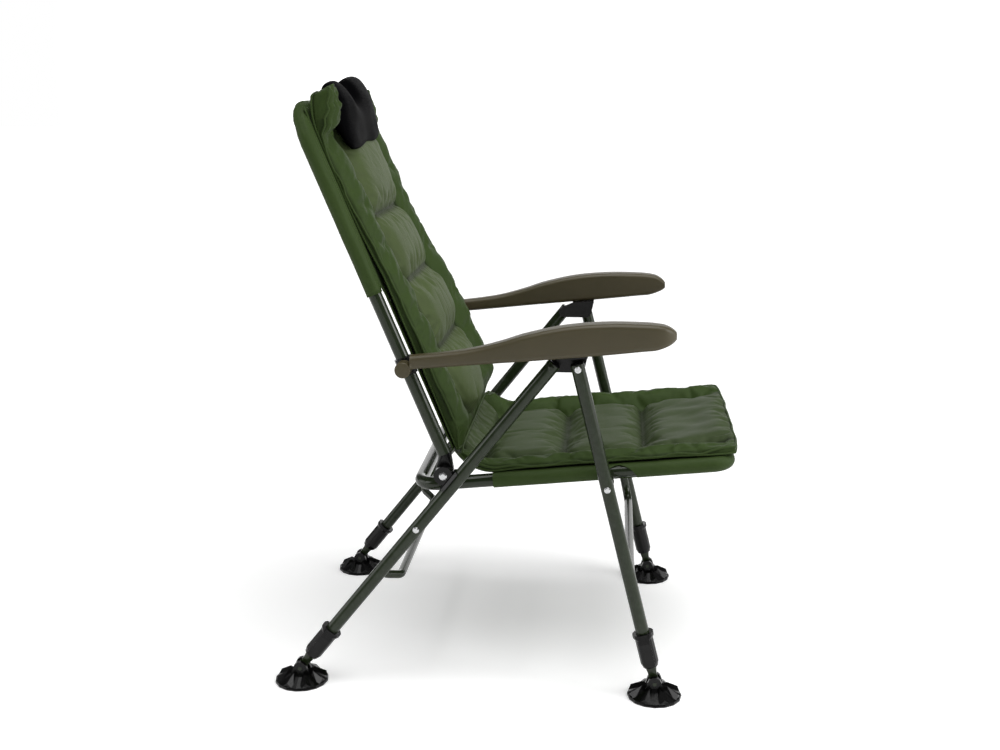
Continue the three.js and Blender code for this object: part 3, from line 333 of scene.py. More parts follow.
# Legs: straight lengths of the same tube with a domed plastic cap in the top.
# The front and rear legs meet under each armrest, where they are riveted to its bracket.
FRONT_FOOT, FRONT_LEG_OUT = Vector((0.290, 0, 0.030)), 0.3004
REAR_FOOT, REAR_LEG_OUT = Vector((-0.382, 0, 0.030)), 0.2936
LEG_TOP = 0.008
LEG_LOW = 0.0603
front_top, rear_top = in_plane(middle_of("arm_pin_rivet_L")), in_plane(middle_of("rear_top_rivet_L"))
legs = {"rear": (rear_top, REAR_FOOT, REAR_LEG_OUT), "front": (front_top, FRONT_FOOT, FRONT_LEG_OUT)}
for end, (top, foot, out) in legs.items():
    up = (top - foot).normalized()
    for mark, side in SIDES.items():
        bm = bmesh.new()
        ends = [foot + up * LEG_LOW, top + up * LEG_TOP]
        bent_tube(bm, [p + across * side * out for p in ends], [], TUBE_R)
        replaced = [f"{end}_leg_tube_{mark}"]
        finished(f"{end}_leg_{mark}", bm, green_paint, f"{end}_legs", replaced)

# Stretchers: thinner painted bars, each bent into a U that hangs between a pair of legs.
# The rear one is riveted inside the legs. The front one has eyes that hang on the front leg rivets.
BAR_GAP = 0.0003
BAR_SIDES = 24
REAR_BAR_R = 0.008
REAR_BAR_BEND = 0.024
REAR_BAR_ABOVE = 0.006
REAR_BAR_DROP = 0.130
REAR_BAR_IN = 0.043
REAR_BAR_LOW = Vector((-0.197, 0, 0.197))
rear_up = (rear_top - REAR_FOOT).normalized()
bar_pin = in_plane(middle_of("rear_bar_rivet_L"))
bar_out = REAR_LEG_OUT - TUBE_R - BAR_GAP - REAR_BAR_R
half_bar = [(bar_pin + rear_up * REAR_BAR_ABOVE, bar_out), (bar_pin - rear_up * REAR_BAR_DROP, bar_out),
            (REAR_BAR_LOW, bar_out - REAR_BAR_IN)]
route = [p + across * y for p, y in half_bar] + [p - across * y for p, y in reversed(half_bar)]
bm = bmesh.new()
bent_tube(bm, route, [REAR_BAR_BEND] * 4, REAR_BAR_R, sides=BAR_SIDES)
finished("rear_bar", bm, green_paint, "rear_legs", ["rear_stretcher"])

FRONT_BAR_R = 0.009
FRONT_BAR_BEND = 0.036
FRONT_BAR_LOW = 0.196
FRONT_BAR_BACK = 0.006
FRONT_BAR_UNDER = 0.008
EYE_FOOT = 0.012
EYE_THICK = 0.004
front_up = (front_top - FRONT_FOOT).normalized()
bar_out = FRONT_LEG_OUT - TUBE_R - BAR_GAP - FRONT_BAR_R
bar_top = front_pivot - front_up * FRONT_BAR_UNDER
bar_low = FRONT_FOOT + front_up * ((FRONT_BAR_LOW - FRONT_FOOT.z) / front_up.z)
bar_low.x -= FRONT_BAR_BACK
half_bar = [(bar_top, bar_out), (bar_low, bar_out)]
route = [p + across * y for p, y in half_bar] + [p - across * y for p, y in reversed(half_bar)]
bm = bmesh.new()
bent_tube(bm, route, [FRONT_BAR_BEND] * 2, FRONT_BAR_R, sides=BAR_SIDES)
eye_out = bar_out + FRONT_BAR_R
eye_in = eye_out - EYE_THICK
for side in SIDES.values():
    lug(bm, front_pivot, bar_top - front_up * EYE_FOOT, side * eye_in, side * eye_out, FRONT_BAR_R)
finished("front_bar", bm, green_paint, "front_legs", ["front_stretcher"])

# Moulded and riveted parts: hinges, saddles, brackets, clamps, collars, levers and feet of black plastic,
# and zinc plated rivets. They are kept as the frame has them. The rear legs' top rivets are painted over.
black_plastic = finish_of("black_plastic", "030303", "080808", rough=(0.15, 0.26), bump=0.3, size=1400.0,
                          wear=0.3, worn_colour="262626", Specular_IOR_Level=0.26)
zinc = finish_of("zinc", "c4c6c8", "dedede", rough=(0.18, 0.34), bump=0.2, size=700.0, Metallic=1.0)
arm_plastic = finish_of("arm_plastic", "3a341e", "443d25", rough=(0.40, 0.52), bump=0.5, size=1700.0,
                        wear=0.3, worn_colour="857e69", Specular_IOR_Level=0.46)
finishes = {"green_paint": green_paint, "black_plastic": black_plastic, "zinc": zinc,
            "arm_plastic": arm_plastic}
for part in frame["record"]["subparts"]:
    if part["material_slot"] in finishes:
        painted = part["node"].startswith("rear_top_rivet")
        mesh = frame["nodes"][part["node"]].data
        mesh.materials.clear()
        mesh.materials.append(green_paint if painted else finishes[part["material_slot"]])

# Seat sling: coated plain weave, sewn into sleeves round the side and front tubes, with a sheet that hangs
# between them. Each sleeve has an arch cut out of it round the front leg's rivet.
SLEEVE_R = 0.0148
SLEEVE_WALL = 0.0012
SLEEVE_WAVE = 0.0006
SLEEVE_STEP = 0.012
SLING_REAR = 0.030
SLING_BEND = 0.028
SLING_SAG = 0.028
SAG_FADE = 0.090
SLING_SEAM = 0.003
SLING_SUNK = 0.0005
SLING_WIDTH_SHARE = 0.985
SLING_LONG, SLING_WIDE = 0.444, 0.500
SHEET_WALL = 0.0015
ARCH_R, ARCH_DROP, ARCH_AHEAD = 0.034, 0.021, 0.022
ARCH_OUT, ARCH_DEEP = 0.020, 0.040
THREADS = 140.0
THREAD_HEIGHT = 0.0005

weave, taken, given = effect(
    "weave",
    [("Vector", "NodeSocketVector", None), ("Threads", "NodeSocketFloat", 1000.0)],
    [("Height", "NodeSocketFloat"), ("Shade", "NodeSocketFloat")],
)
links = {"Vector": taken.outputs["Vector"], "Scale": taken.outputs["Threads"], "Distortion": 0.6,
         "Detail": 1.0, "Detail Scale": 0.4}
heights = []
for direction in ("X", "Y"):
    thread = node(weave, "ShaderNodeTexWave", links, bands_direction=direction)
    heights.append(thread.outputs["Fac"])
crossed = node(weave, "ShaderNodeMath", {0: heights[0], 1: heights[1]}, operation="MULTIPLY")
weave.links.new(crossed.outputs[0], given.inputs["Height"])
links = {"Vector": taken.outputs["Vector"], "Scale": 9.0, "Detail": 5.0, "Roughness": 0.6}
cloudy = node(weave, "ShaderNodeTexNoise", links)
weave.links.new(cloudy.outputs["Fac"], given.inputs["Shade"])


def cloth_of(name, low, high, rough, panel=None, **constants):
    """A woven finish on the piece's own UV map, in metres, with another shade inside its sewn panels and
    painted shade along its seams.
    """
    material, tree, shader = new_material(name, constants)
    texture = node(tree, "ShaderNodeGroup", node_tree=weave)
    tree.links.new(node(tree, "ShaderNodeUVMap", uv_map="cloth").outputs["UV"], texture.inputs["Vector"])
    texture.inputs["Threads"].default_value = THREADS
    patches, height = texture.outputs["Shade"], texture.outputs["Height"]
    shade = mixed(tree, patches, colour(low), colour(high))
    if panel:
        inside = node(tree, "ShaderNodeAttribute", attribute_name="inside").outputs["Fac"]
        where = node(tree, "ShaderNodeMapRange", {"Value": inside, "From Min": -0.0006, "From Max": 0.0006})
        padded = mixed(tree, patches, colour(panel[0]), colour(panel[1]))
        shade = mixed(tree, where.outputs["Result"], shade, padded)
    dip = node(tree, "ShaderNodeMapRange", {"Value": height, "To Min": 0.9, "To Max": 1.06})
    lit = mixed(tree, 1.0, shade, dip.outputs["Result"], "MULTIPLY")
    # Painted shade: where the piece's crease attribute marks seams, rim and underside, the colour is darkened
    # down to 0.45 of itself.
    sewn = node(tree, "ShaderNodeAttribute", attribute_name="crease").outputs["Fac"]
    painted_seam_shade = node(tree, "ShaderNodeMapRange", {"Value": sewn, "To Min": 1.0, "To Max": 0.45})
    seam_shaded = mixed(tree, 1.0, lit, painted_seam_shade.outputs["Result"], "MULTIPLY")
    surfaced(tree, shader, seam_shaded, patches, rough, height, 0.35, THREAD_HEIGHT)
    return material


border_cloth = cloth_of("border_cloth", "2d3d19", "374820", rough=(0.5, 0.62), Specular_IOR_Level=0.14,
                        Sheen_Weight=0.02, Sheen_Roughness=0.4)


def ripple(x, y, seed, size):
    """A smooth random wave, from -1 to 1, about so long."""
    return noise.noise(Vector((x / size, y / size, seed)))


def sag(x, y):
    """How far the sling hangs below its sleeves."""
    middle = 1 - min(1, abs(y) / SEAT_HALF) ** 4
    return SLING_SAG * middle * math.sin(math.pi / 2 * min(1, max(0, (SEAT_FRONT - x) / SAG_FADE)))


def cloth_grid(bm, columns, rows, place, top=1.0):
    """A flat grid laid where place puts its points, with their flat places kept as a UV map and on them."""
    layer = bm.loops.layers.uv.get("cloth") or bm.loops.layers.uv.new("cloth")
    cut = bm.verts.layers.float_vector.get("cut") or bm.verts.layers.float_vector.new("cut")
    verts = bmesh.ops.create_grid(bm, x_segments=columns, y_segments=rows, size=1)["verts"]
    for vert in verts:
        vert.co, flat = place(vert.co.x, vert.co.y)
        vert[cut] = Vector((*flat, top))
    for face in {f for v in verts for f in v.link_faces}:
        for loop in face.loops:
            loop[layer].uv = loop.vert[cut].xy


def unrolled(bm, flat_of):
    """Gives a sleeve or cord a UV map that runs along it and round it, in metres."""
    layer = bm.loops.layers.uv.new("cloth")
    for face in bm.faces:
        for loop in face.loops:
            loop[layer].uv = flat_of(loop.vert.co)


def open_ends(bm):
    """Takes the flat faces off the ends of a tube."""
    bmesh.ops.delete(bm, geom=[f for f in bm.faces if len(f.verts) > 4], context="FACES_ONLY")


def walled(piece, thickness, offset=-1):
    """Gives a thin cloth its thickness."""
    wall = piece.modifiers.new("wall", "SOLIDIFY")
    wall.thickness = thickness
    wall.offset = offset


def with_modifiers(piece):
    """Writes what a piece's modifiers do into its own mesh."""
    bpy.context.view_layer.update()
    changed = bpy.data.meshes.new_from_object(piece.evaluated_get(bpy.context.evaluated_depsgraph_get()))
    piece.modifiers.clear()
    piece.data = changed


bm = bmesh.new()
sling = [(SLING_REAR, SEAT_HALF), (SEAT_FRONT, SEAT_HALF), (SEAT_FRONT, -SEAT_HALF), (SLING_REAR, -SEAT_HALF)]
route = [on_seat(x, y, 0) for x, y in sling]
bent_tube(bm, route, [SLING_BEND] * 2, SLEEVE_R, bend_steps=14, step=SLEEVE_STEP)
for vert in bm.verts:
    above = (vert.co - hinge).dot(upwards) + SEAT_UNDER
    wave = SLEEVE_WAVE * ripple(along_seat(vert.co), above * 3, 1.3, 0.02)
    vert.co += across * math.copysign(1, vert.co.y) * wave
unrolled(bm, lambda p: (p.x + p.y, p.z * 1.5))
bmesh.ops.recalc_face_normals(bm, faces=bm.faces)
open_ends(bm)
sleeves = linked("sling_sleeves", bm)
walled(sleeves, SLEEVE_WALL)

arch_bm = bmesh.new()
for side in SIDES.values():
    spot = on_seat(along_seat(front_pivot) + ARCH_AHEAD, side * (SEAT_HALF + ARCH_OUT), -ARCH_DROP)
    disc(arch_bm, spot, ARCH_R, ARCH_DEEP, 64)
arch_cutter = linked("arch_cutter", arch_bm)
arch_cut = sleeves.modifiers.new("arch", "BOOLEAN")
arch_cut.operation = "DIFFERENCE"
arch_cut.object = arch_cutter
arch_cut.solver = "EXACT"
with_modifiers(sleeves)
bpy.data.objects.remove(arch_cutter)
dressed(sleeves, border_cloth, "seat", ["seat_sling"], sharp=50)


def sling_at(a, b):
    """A point of the sheet between the sleeves, and its place in the flat cloth."""
    share = (a + 1) / 2
    x = SLING_REAR + SLING_SEAM + (SEAT_FRONT - SLING_REAR - 2 * SLING_SEAM) * share
    hang = sag(SLING_REAR + (SEAT_FRONT - SLING_REAR) * share, SEAT_HALF * b)
    point = on_seat(x, SEAT_HALF * b * SLING_WIDTH_SHARE, SLEEVE_R - SLING_SUNK - hang)
    return point, (SLING_LONG * share, SLING_WIDE / 2 * b)


bm = bmesh.new()
cloth_grid(bm, 60, 60, sling_at)
sling_sheet = finished("sling_sheet", bm, border_cloth, "seat")
walled(sling_sheet, SHEET_WALL)

# Seat pad: stuffed lobes of a softer cloth between two raised borders, sewn through to the underside.
# It is piped round the rim, and its rear end turns up against the back.
PAD_REAR, PAD_FRONT, PAD_HALF = -0.048, 0.485, 0.250
PAD_SEAM = 0.066
SEAT_SEAMS = (0.010, 0.158, 0.313)
TURN_FROM, TURN_R = 0.035, 0.075
BORDER_FOOT, BORDER_RISE, BORDER_DROP = 0.007, 0.013, 0.038
BORDER_PUFF, BORDER_CREST, BORDER_WAVE = 0.024, 0.026, 0.0016
LOBE_DIP, LOBE_RISE, LOBE_PUFF, LOBE_WAVE = 0.020, 0.028, 0.022, 0.0012
LOBE_CORNER = 0.040
REAR_BEYOND, FRONT_BEYOND = 0.05, 0.06
FRONT_FOLD, FOLDS_FROM, FOLDS_FULL = 0.0038, 0.20, 0.42
FRONT_WAVE, SIDE_WAVE = 0.004, 0.0015
LIP_FOOT, LIP_RISE, LIP_PUFF, LIP_RUN = 0.009, 0.006, 0.02, 0.07
REAR_HIGH, REAR_RUN = 0.006, 0.02
UNDER_GAP, UNDER_BULGE, UNDER_EDGE = 0.0012, 0.0035, 0.03
BULGE_FROM, BULGE_FULL, BULGE_END, BULGE_FADE = 0.02, 0.12, 0.47, 0.12
CORNER_SHARE = 0.022
RIM_GRIP = 0.002
SEAM_WIDE, SEAM_GRIP = 0.007, 1.5
PANEL_EDGE = 0.004
FILL_CAP = 0.009
FILL_FRAMES = 20
PIPING_R, PIPING_UP = 0.0022, 0.002
PIPING_STEPS = 60
# Painted shade: the seat's panels take the back pad's cloth in darker shades, standing in for the lesser
# light on the seat.
shaded_seat_cloth = cloth_of("shaded_seat_cloth", "2d3d19", "374820", rough=(0.5, 0.63), panel=("343f26", "3e4a2d"),
                      IOR=1.22, Specular_IOR_Level=0.45, Sheen_Weight=0.02, Sheen_Roughness=0.4)


def smooth_step(x, low, high):
    """Rises from 0 at low to 1 at high, level at both ends."""
    s = min(1, max(0, (x - low) / (high - low)))
    return s * s * (3 - 2 * s)


def box_edge(x, y, low, high, half, round_off):
    """How far a point lies inside a rounded rectangle, negative outside."""
    mid, reach = (low + high) / 2, (high - low) / 2
    qx, qy = abs(x - mid) - reach + round_off, abs(y) - half + round_off
    outside = math.hypot(max(qx, 0), max(qy, 0))
    return round_off - outside - min(max(qx, qy), 0)


def puffed(distance, width):
    """The rise of stuffed cloth away from a seam, from 0 to 1."""
    return math.sqrt(1 - (1 - min(1, max(0, distance) / width)) ** 2)


def seat_lobe(x, y):
    """How far a point of the seat's middle lies from the nearest sewn line."""
    marks = (PAD_REAR - REAR_BEYOND, *SEAT_SEAMS, PAD_FRONT + FRONT_BEYOND)
    lobes = zip(marks, marks[1:])
    return max(box_edge(x, y, low, high, PAD_HALF - PAD_SEAM, LOBE_CORNER) for low, high in lobes)


def seat_top(x, y):
    """Height of the pad's upper face over the top of the sleeves."""
    e = PAD_HALF - abs(y)
    front = PAD_FRONT - x
    border = BORDER_FOOT + BORDER_RISE * puffed(e, BORDER_PUFF)
    border -= BORDER_DROP * smooth_step(e, BORDER_CREST, PAD_SEAM)
    border += BORDER_WAVE * ripple(x * 0.6, y * 2, 4.1, 0.03)
    sunk = 0.5 * (sag(x, y) - sag(x, PAD_HALF - PAD_SEAM))
    folds = FRONT_FOLD * ripple(x * 0.6 + y * 0.3, y - 0.5 * x, 7.7, 0.042)
    folds *= smooth_step(x, FOLDS_FROM, FOLDS_FULL)
    lobe = -LOBE_DIP + LOBE_RISE * puffed(seat_lobe(x, y), LOBE_PUFF) - sunk + folds
    lobe += LOBE_WAVE * ripple(x, y, 9.9, 0.04)
    height = border if e < PAD_SEAM else max(lobe, -LOBE_DIP - sunk)
    lip = LIP_FOOT + LIP_RISE * puffed(front, LIP_PUFF)
    raised = smooth_step(front, 0.0, LIP_RUN)
    rear = smooth_step(x - PAD_REAR, 0.0, REAR_RUN)
    return (height * raised + lip * (1 - raised)) * rear + REAR_HIGH * (1 - rear)


def seat_under(x, y):
    """Height of the pad's underside, which hangs with the sling and bulges a little under its borders."""
    edge = 1 - smooth_step(PAD_HALF - abs(y), 0.0, UNDER_EDGE)
    bulge = UNDER_BULGE * edge * smooth_step(x, BULGE_FROM, BULGE_FULL)
    return UNDER_GAP + bulge * smooth_step(BULGE_END - x, 0.0, BULGE_FADE) - sag(x, y)


def pad_corner(a, b):
    """Rounds the corners of a square grid a little."""
    return a * (1 - CORNER_SHARE * b ** 8 * a ** 2), b * (1 - CORNER_SHARE * a ** 8 * b ** 2)


def keep_values(piece, name, value_of):
    """Keeps a value at each point of a pad for its cloth, by the point's place in the flat pattern."""
    values = [value_of(*mark.vector) for mark in piece.data.attributes["cut"].data]
    piece.data.attributes.new(name, "FLOAT", "POINT").data.foreach_set("value", values)


def stuffed(piece, held):
    """Fills a pad in Blender's cloth simulation: what is sewn is held, and no point moves past the cap."""
    rest = [v.co.copy() for v in piece.data.vertices]
    kept = piece.vertex_groups.new(name="held")
    for i, mark in enumerate(piece.data.attributes["cut"].data):
        kept.add([i], held(*mark.vector), "REPLACE")
    cloth = piece.modifiers.new("filling", "CLOTH")
    cloth.settings.quality = 5
    cloth.settings.mass = 0.15
    cloth.settings.tension_stiffness = cloth.settings.compression_stiffness = 12
    cloth.settings.shear_stiffness = 5
    cloth.settings.bending_stiffness = 0.06
    cloth.settings.shrink_min = -0.05
    cloth.settings.vertex_group_mass = "held"
    cloth.settings.use_pressure = True
    cloth.settings.uniform_pressure_force = 4.0
    cloth.settings.effector_weights.gravity = 0
    cloth.collision_settings.use_collision = False
    cloth.point_cache.frame_start, cloth.point_cache.frame_end = 1, FILL_FRAMES
    for frame_number in range(1, FILL_FRAMES + 1):
        bpy.context.scene.frame_set(frame_number)
    moved = piece.evaluated_get(bpy.context.evaluated_depsgraph_get()).data.vertices
    for vert, before, after in zip(piece.data.vertices, rest, moved):
        step = after.co - before
        if step.length > 1e-7:
            vert.co = before + step * (FILL_CAP * math.tanh(step.length / FILL_CAP) / step.length)
    piece.modifiers.remove(cloth)
    piece.vertex_groups.remove(kept)
    bpy.context.scene.frame_set(1)


def pad_of(name, cloth, at, top, under, columns, rows, lobe, held, body, replaced):
    """A closed pad from two grids joined round their rims, then stuffed."""
    bm = bmesh.new()
    cloth_grid(bm, columns, rows, lambda a, b: at(a, b, top), 1.0)
    cloth_grid(bm, columns, rows, lambda a, b: at(a, b, under), 0.0)
    bmesh.ops.bridge_loops(bm, edges=[e for e in bm.edges if e.is_boundary])
    piece = finished(name, bm, cloth, body, replaced, sharp=75)
    # Painted shade: the crease value marks the top's sewn seams and rim fully, and the whole underside at
    # 0.3, for the cloth to darken.
    keep_values(piece, "crease", lambda x, y, above: held(x, y, above) * (1.0 if above > 0.5 else 0.3))
    keep_values(piece, "inside", lambda x, y, above: lobe(x, y) + PANEL_EDGE if above > 0.5 else -0.01)
    stuffed(piece, held)
    round_off = piece.modifiers.new("round", "SUBSURF")
    round_off.levels = round_off.render_levels = 1
    return piece


def seat_at(a, b, height_of):
    """A point of the seat pad from a square grid, and its place in the flat cloth."""
    u, v = pad_corner(a, b)
    x = (PAD_REAR + PAD_FRONT) / 2 + (PAD_FRONT - PAD_REAR) / 2 * u
    x += FRONT_WAVE * max(0.0, u) ** 6 * ripple(PAD_HALF * v, 0, 3.7, 0.07)
    y = (PAD_HALF + SIDE_WAVE * ripple(x, 0, 5.9, 0.05)) * v
    high = height_of(x, y)
    turn = max(0.0, TURN_FROM - x) / TURN_R
    ahead = max(x, TURN_FROM) + (high - TURN_R) * math.sin(turn)
    return on_seat(ahead, y, SLEEVE_R + TURN_R * (1 - math.cos(turn)) + high * math.cos(turn)), (x, y)


def seat_held(x, y, top):
    """Where the seat pad's cloth is sewn down: its rim, underside, border seams and channels."""
    e = PAD_HALF - abs(y)
    if top < 0.5 or e < RIM_GRIP or x < PAD_REAR + RIM_GRIP or x > PAD_FRONT - RIM_GRIP:
        return 1.0
    seam = 1 - abs(e - PAD_SEAM) / SEAM_WIDE
    channel = max(1 - abs(x - at) / SEAM_WIDE for at in SEAT_SEAMS) if e > PAD_SEAM else 0
    return min(1.0, SEAM_GRIP * max(seam, channel, 0))


def piping(name, place, height_of, body):
    """A round cord of border cloth, sewn round the rim of a pad."""
    curve = bpy.data.curves.new(name, "CURVE")
    curve.dimensions = "3D"
    curve.bevel_depth = PIPING_R
    curve.bevel_resolution = 3
    steps = [i / PIPING_STEPS * 2 - 1 for i in range(PIPING_STEPS)]
    square = [(s, -1) for s in steps] + [(1, s) for s in steps]
    square += [(-a, -b) for a, b in square]
    spline = curve.splines.new("POLY")
    spline.points.add(len(square) - 1)
    for knot, (a, b) in zip(spline.points, square):
        knot.co = (*place(a, b, height_of)[0], 1)
    spline.use_cyclic_u = True
    holder = bpy.data.objects.new(name + "_line", curve)
    bpy.context.scene.collection.objects.link(holder)
    bpy.context.view_layer.update()
    mesh = bpy.data.meshes.new_from_object(holder.evaluated_get(bpy.context.evaluated_depsgraph_get()))
    bpy.data.objects.remove(holder)
    bm = bmesh.new()
    bm.from_mesh(mesh)
    bpy.data.meshes.remove(mesh)
    bmesh.ops.remove_doubles(bm, verts=bm.verts, dist=1e-6)
    unrolled(bm, lambda p: (p.x + p.z, p.y))
    return finished(name, bm, border_cloth, body)


def flattened(*pieces, along, towards):
    """Gives each soft piece its own copy of its mesh."""
    for piece in pieces:
        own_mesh(piece)


seat_pad = pad_of("seat_pad", shaded_seat_cloth, seat_at, seat_top, seat_under, 92, 96, seat_lobe, seat_held, "seat",
                  ["seat_cushion"])
top_piping = piping("seat_pad_top_piping", seat_at, seat_top, "seat")
low_piping = piping("seat_pad_low_piping", seat_at, lambda x, y: seat_under(x, y) + PIPING_UP, "seat")
flattened(seat_pad, top_piping, low_piping, along=upwards, towards=on_seat(0, 0, SLEEVE_R))

# Back sleeve: border cloth pulled over the top of the arch, down to a little above the armrests.
# A sheet of the same cloth is sewn between its sides, and the back pad is sewn to that.
SLEEVE_FROM = 0.352
COVER_WAVE, COVER_CREASE, COVER_STEP = 0.0012, 0.0028, 0.010
CREASE_FROM, CREASE_FULL = 0.60, 0.70
SHEET_FROM, SHEET_LONG, SHEET_AHEAD = 0.030, 0.674, 0.0142
SHEET_GAP, SHEET_WIDENS = 0.002, 0.01
SHEET_HALF = BACK_HALF - TUBE_R - SHEET_GAP
bm = bmesh.new()
cover = [(SLEEVE_FROM, BACK_HALF), (BACK_TOP, BACK_HALF), (BACK_TOP, -BACK_HALF), (SLEEVE_FROM, -BACK_HALF)]
route = [on_back(t, 0, y) for t, y in cover]
bent_tube(bm, route, [BACK_BEND] * 2, SLEEVE_R, sides=36, bend_steps=18, step=COVER_STEP)
open_ends(bm)
for vert in bm.verts:
    rel = vert.co - hinge
    t, n = rel.dot(back_up), rel.dot(back_out) - BACK_AHEAD
    bend = smooth_step(t, CREASE_FROM, CREASE_FULL)
    crease = COVER_WAVE * ripple(t * 0.35, n * 4, 2.2, 0.02)
    crease += bend * COVER_CREASE * ripple(t * 2 + vert.co.y, n * 2, 5.5, 0.02)
    vert.co += (across * math.copysign(1, vert.co.y) + back_out * n / SLEEVE_R * 0.5) * crease
unrolled(bm, lambda p: (p.z + p.y, p.x * 1.5))
back_sleeve = finished("back_sleeve_cover", bm, border_cloth, "backrest", ["back_sleeve"])
walled(back_sleeve, SLEEVE_WALL)


def back_sheet_at(a, b):
    """A point of the sheet, which is as wide as the arch only where the sleeve hides its edges."""
    t = SHEET_FROM + SHEET_LONG * (a + 1) / 2
    half = SHEET_HALF + (BACK_HALF - SHEET_HALF) * smooth_step(t, SLEEVE_FROM, SLEEVE_FROM + SHEET_WIDENS)
    half -= (BACK_HALF - SHEET_HALF) * smooth_step(t, BACK_TOP - BACK_BEND, BACK_TOP)
    return on_back(t, SHEET_AHEAD, half * b), (t, half * b)


bm = bmesh.new()
cloth_grid(bm, 60, 40, back_sheet_at)
back_sheet = finished("back_sheet", bm, border_cloth, "backrest")
walled(back_sheet, SHEET_WALL, offset=0)

# Back pad: one long pad with four stuffed lobes of a softer cloth, the lowest drawn to a point. Wide borders
# stand forward at its sides, and roll up into stuffed corners beside the headrest pillow.
BACK_PAD_FROM, BACK_PAD_TO, BACK_PAD_HALF = 0.019, 0.724, 0.252
BACK_SEAM, BACK_SEAM_WIDE = 0.100, 0.008
BACK_SEAMS = (0.200, 0.342, 0.479)
POINT_FROM, POINT_LONG = 0.165, 0.125
BACK_CORNER, FOOT_BEYOND, TOP_BEYOND = 0.045, 0.06, 0.05
BACK_SIDE_WAVE = 0.002
PAD_BEHIND, PAD_FACE, PAD_FOOT_RUN = 0.0165, 0.022, 0.05
LOBE_HIGH, LOBE_CROWN, LOBE_SOFT = 0.017, 0.006, 0.046
BORDER_CREASE, BORDER_PLEAT, TOP_FOLD = 0.0038, 0.0022, 0.0018
PILLOW_FROM, PILLOW_RUN, PILLOW_BED = 0.602, 0.05, 0.0235
NEAR_PUFF, SEAM_DROP = 0.064, 0.018
FAR_FLAT, FAR_PAST, FAR_DROP, FAR_PUFF = 0.010, 0.004, 0.009, 0.014
ROLL_AT, ROLL_R, ROLL_NEAR, ROLL_FAR = 0.690, 0.040, 0.035, 0.012
ROLL_PUFF, ROLL_FROM, ROLL_TO = 0.014, 0.052, 0.078
PINCH_AT, PINCH_WIDE, PINCH_SHARE = 0.020, 0.0045, 0.45
CURL_FROM, CURL_RUN, CURL_NEAR, CURL_FAR = 0.655, 0.080, 0.026, 0.008
NEAR_RIM = [(0.0, 0.030), (0.20, 0.036), (0.358, 0.034), (0.407, 0.029), (0.486, 0.023), (0.564, 0.0185),
            (0.617, 0.019), (0.664, 0.025), (0.74, 0.028)]
NEAR_CREST = [(0.0, 0.046), (0.20, 0.050), (0.335, 0.048), (0.381, 0.044), (0.427, 0.040), (0.521, 0.038),
              (0.582, 0.035), (0.641, 0.027), (0.74, 0.026)]
REAR_RIM = [(0.0, 0.020), (0.364, 0.025), (0.418, 0.021), (0.471, 0.0175), (0.60, 0.017), (0.74, 0.018)]
FAR_CREST = [(0.0, 0.056), (0.128, 0.058), (0.224, 0.057), (0.321, 0.050), (0.453, 0.036), (0.565, 0.034),
             (0.635, 0.031), (0.74, 0.033)]
FAR_SEAM = [(0.0, 0.034), (0.20, 0.034), (0.317, 0.030), (0.388, 0.020), (0.506, 0.017), (0.74, 0.017)]
pad_cloth = cloth_of("pad_cloth", "2d3d19", "374820", rough=(0.5, 0.63), panel=("404b2c", "4b5835"), IOR=1.22,
                     Specular_IOR_Level=0.45, Sheen_Weight=0.02, Sheen_Roughness=0.4)


def along_table(table, x):
    """A smooth curve through the rows of a table."""
    places = [row[0] for row in table]
    i = min(len(table) - 1, max(1, bisect.bisect(places, x)))
    (a, p), (b, q) = table[i - 1], table[i]
    before, after = table[max(0, i - 2)], table[min(len(table) - 1, i + 1)]
    s = min(1, max(0, (x - a) / (b - a)))
    leave = (q - before[1]) / (b - before[0]) * (b - a)
    arrive = (after[1] - p) / (after[0] - a) * (b - a)
    return ((2 * s ** 3 - 3 * s ** 2 + 1) * p + (s ** 3 - 2 * s ** 2 + s) * leave
            + (3 * s ** 2 - 2 * s ** 3) * q + (s ** 3 - s ** 2) * arrive)


def panel_half(t):
    """Half the width of the softer middle, which ends in a point low down between the borders."""
    return (BACK_PAD_HALF - BACK_SEAM) * math.sqrt(max(0.0, 1 - (max(0.0, POINT_FROM - t) / POINT_LONG) ** 2))


def back_lobe(t, y):
    """How far a point of the back's middle lies from the nearest sewn line."""
    marks = (BACK_PAD_FROM - FOOT_BEYOND, *BACK_SEAMS, BACK_PAD_TO + TOP_BEYOND)
    lobes = zip(marks, marks[1:])
    inside = max(box_edge(t, y, low, high, BACK_PAD_HALF - BACK_SEAM, BACK_CORNER) for low, high in lobes)
    return min(inside, (panel_half(t) - abs(y)) * 0.8) if t < POINT_FROM else inside


def corner_roll(t, y):
    """The puffed roll that the border makes at the top corners, pinched and crumpled beside the pillow."""
    e = BACK_PAD_HALF - abs(y)
    roll = math.sqrt(max(0.0, 1 - ((t - ROLL_AT) / ROLL_R) ** 2)) * puffed(e, ROLL_PUFF)
    roll *= 1 - smooth_step(e, ROLL_FROM, ROLL_TO)
    roll *= 1 - PINCH_SHARE * math.exp(-((e - PINCH_AT - 0.1 * (t - ROLL_AT)) / PINCH_WIDE) ** 2)
    roll *= 1 + 0.46 * ripple(t * 1.6 + e, e * 1.4, 9.2, 0.019)
    return roll * (ROLL_NEAR if y < 0 else ROLL_FAR)


def back_curl(t, y):
    """How far the top corners lean forward, drawn in by the pillow."""
    lean = max(0.0, (t - CURL_FROM) / CURL_RUN) ** 2.0
    return (CURL_NEAR if y < 0 else CURL_FAR) * lean * smooth_step(abs(y), 0.13, 0.20)


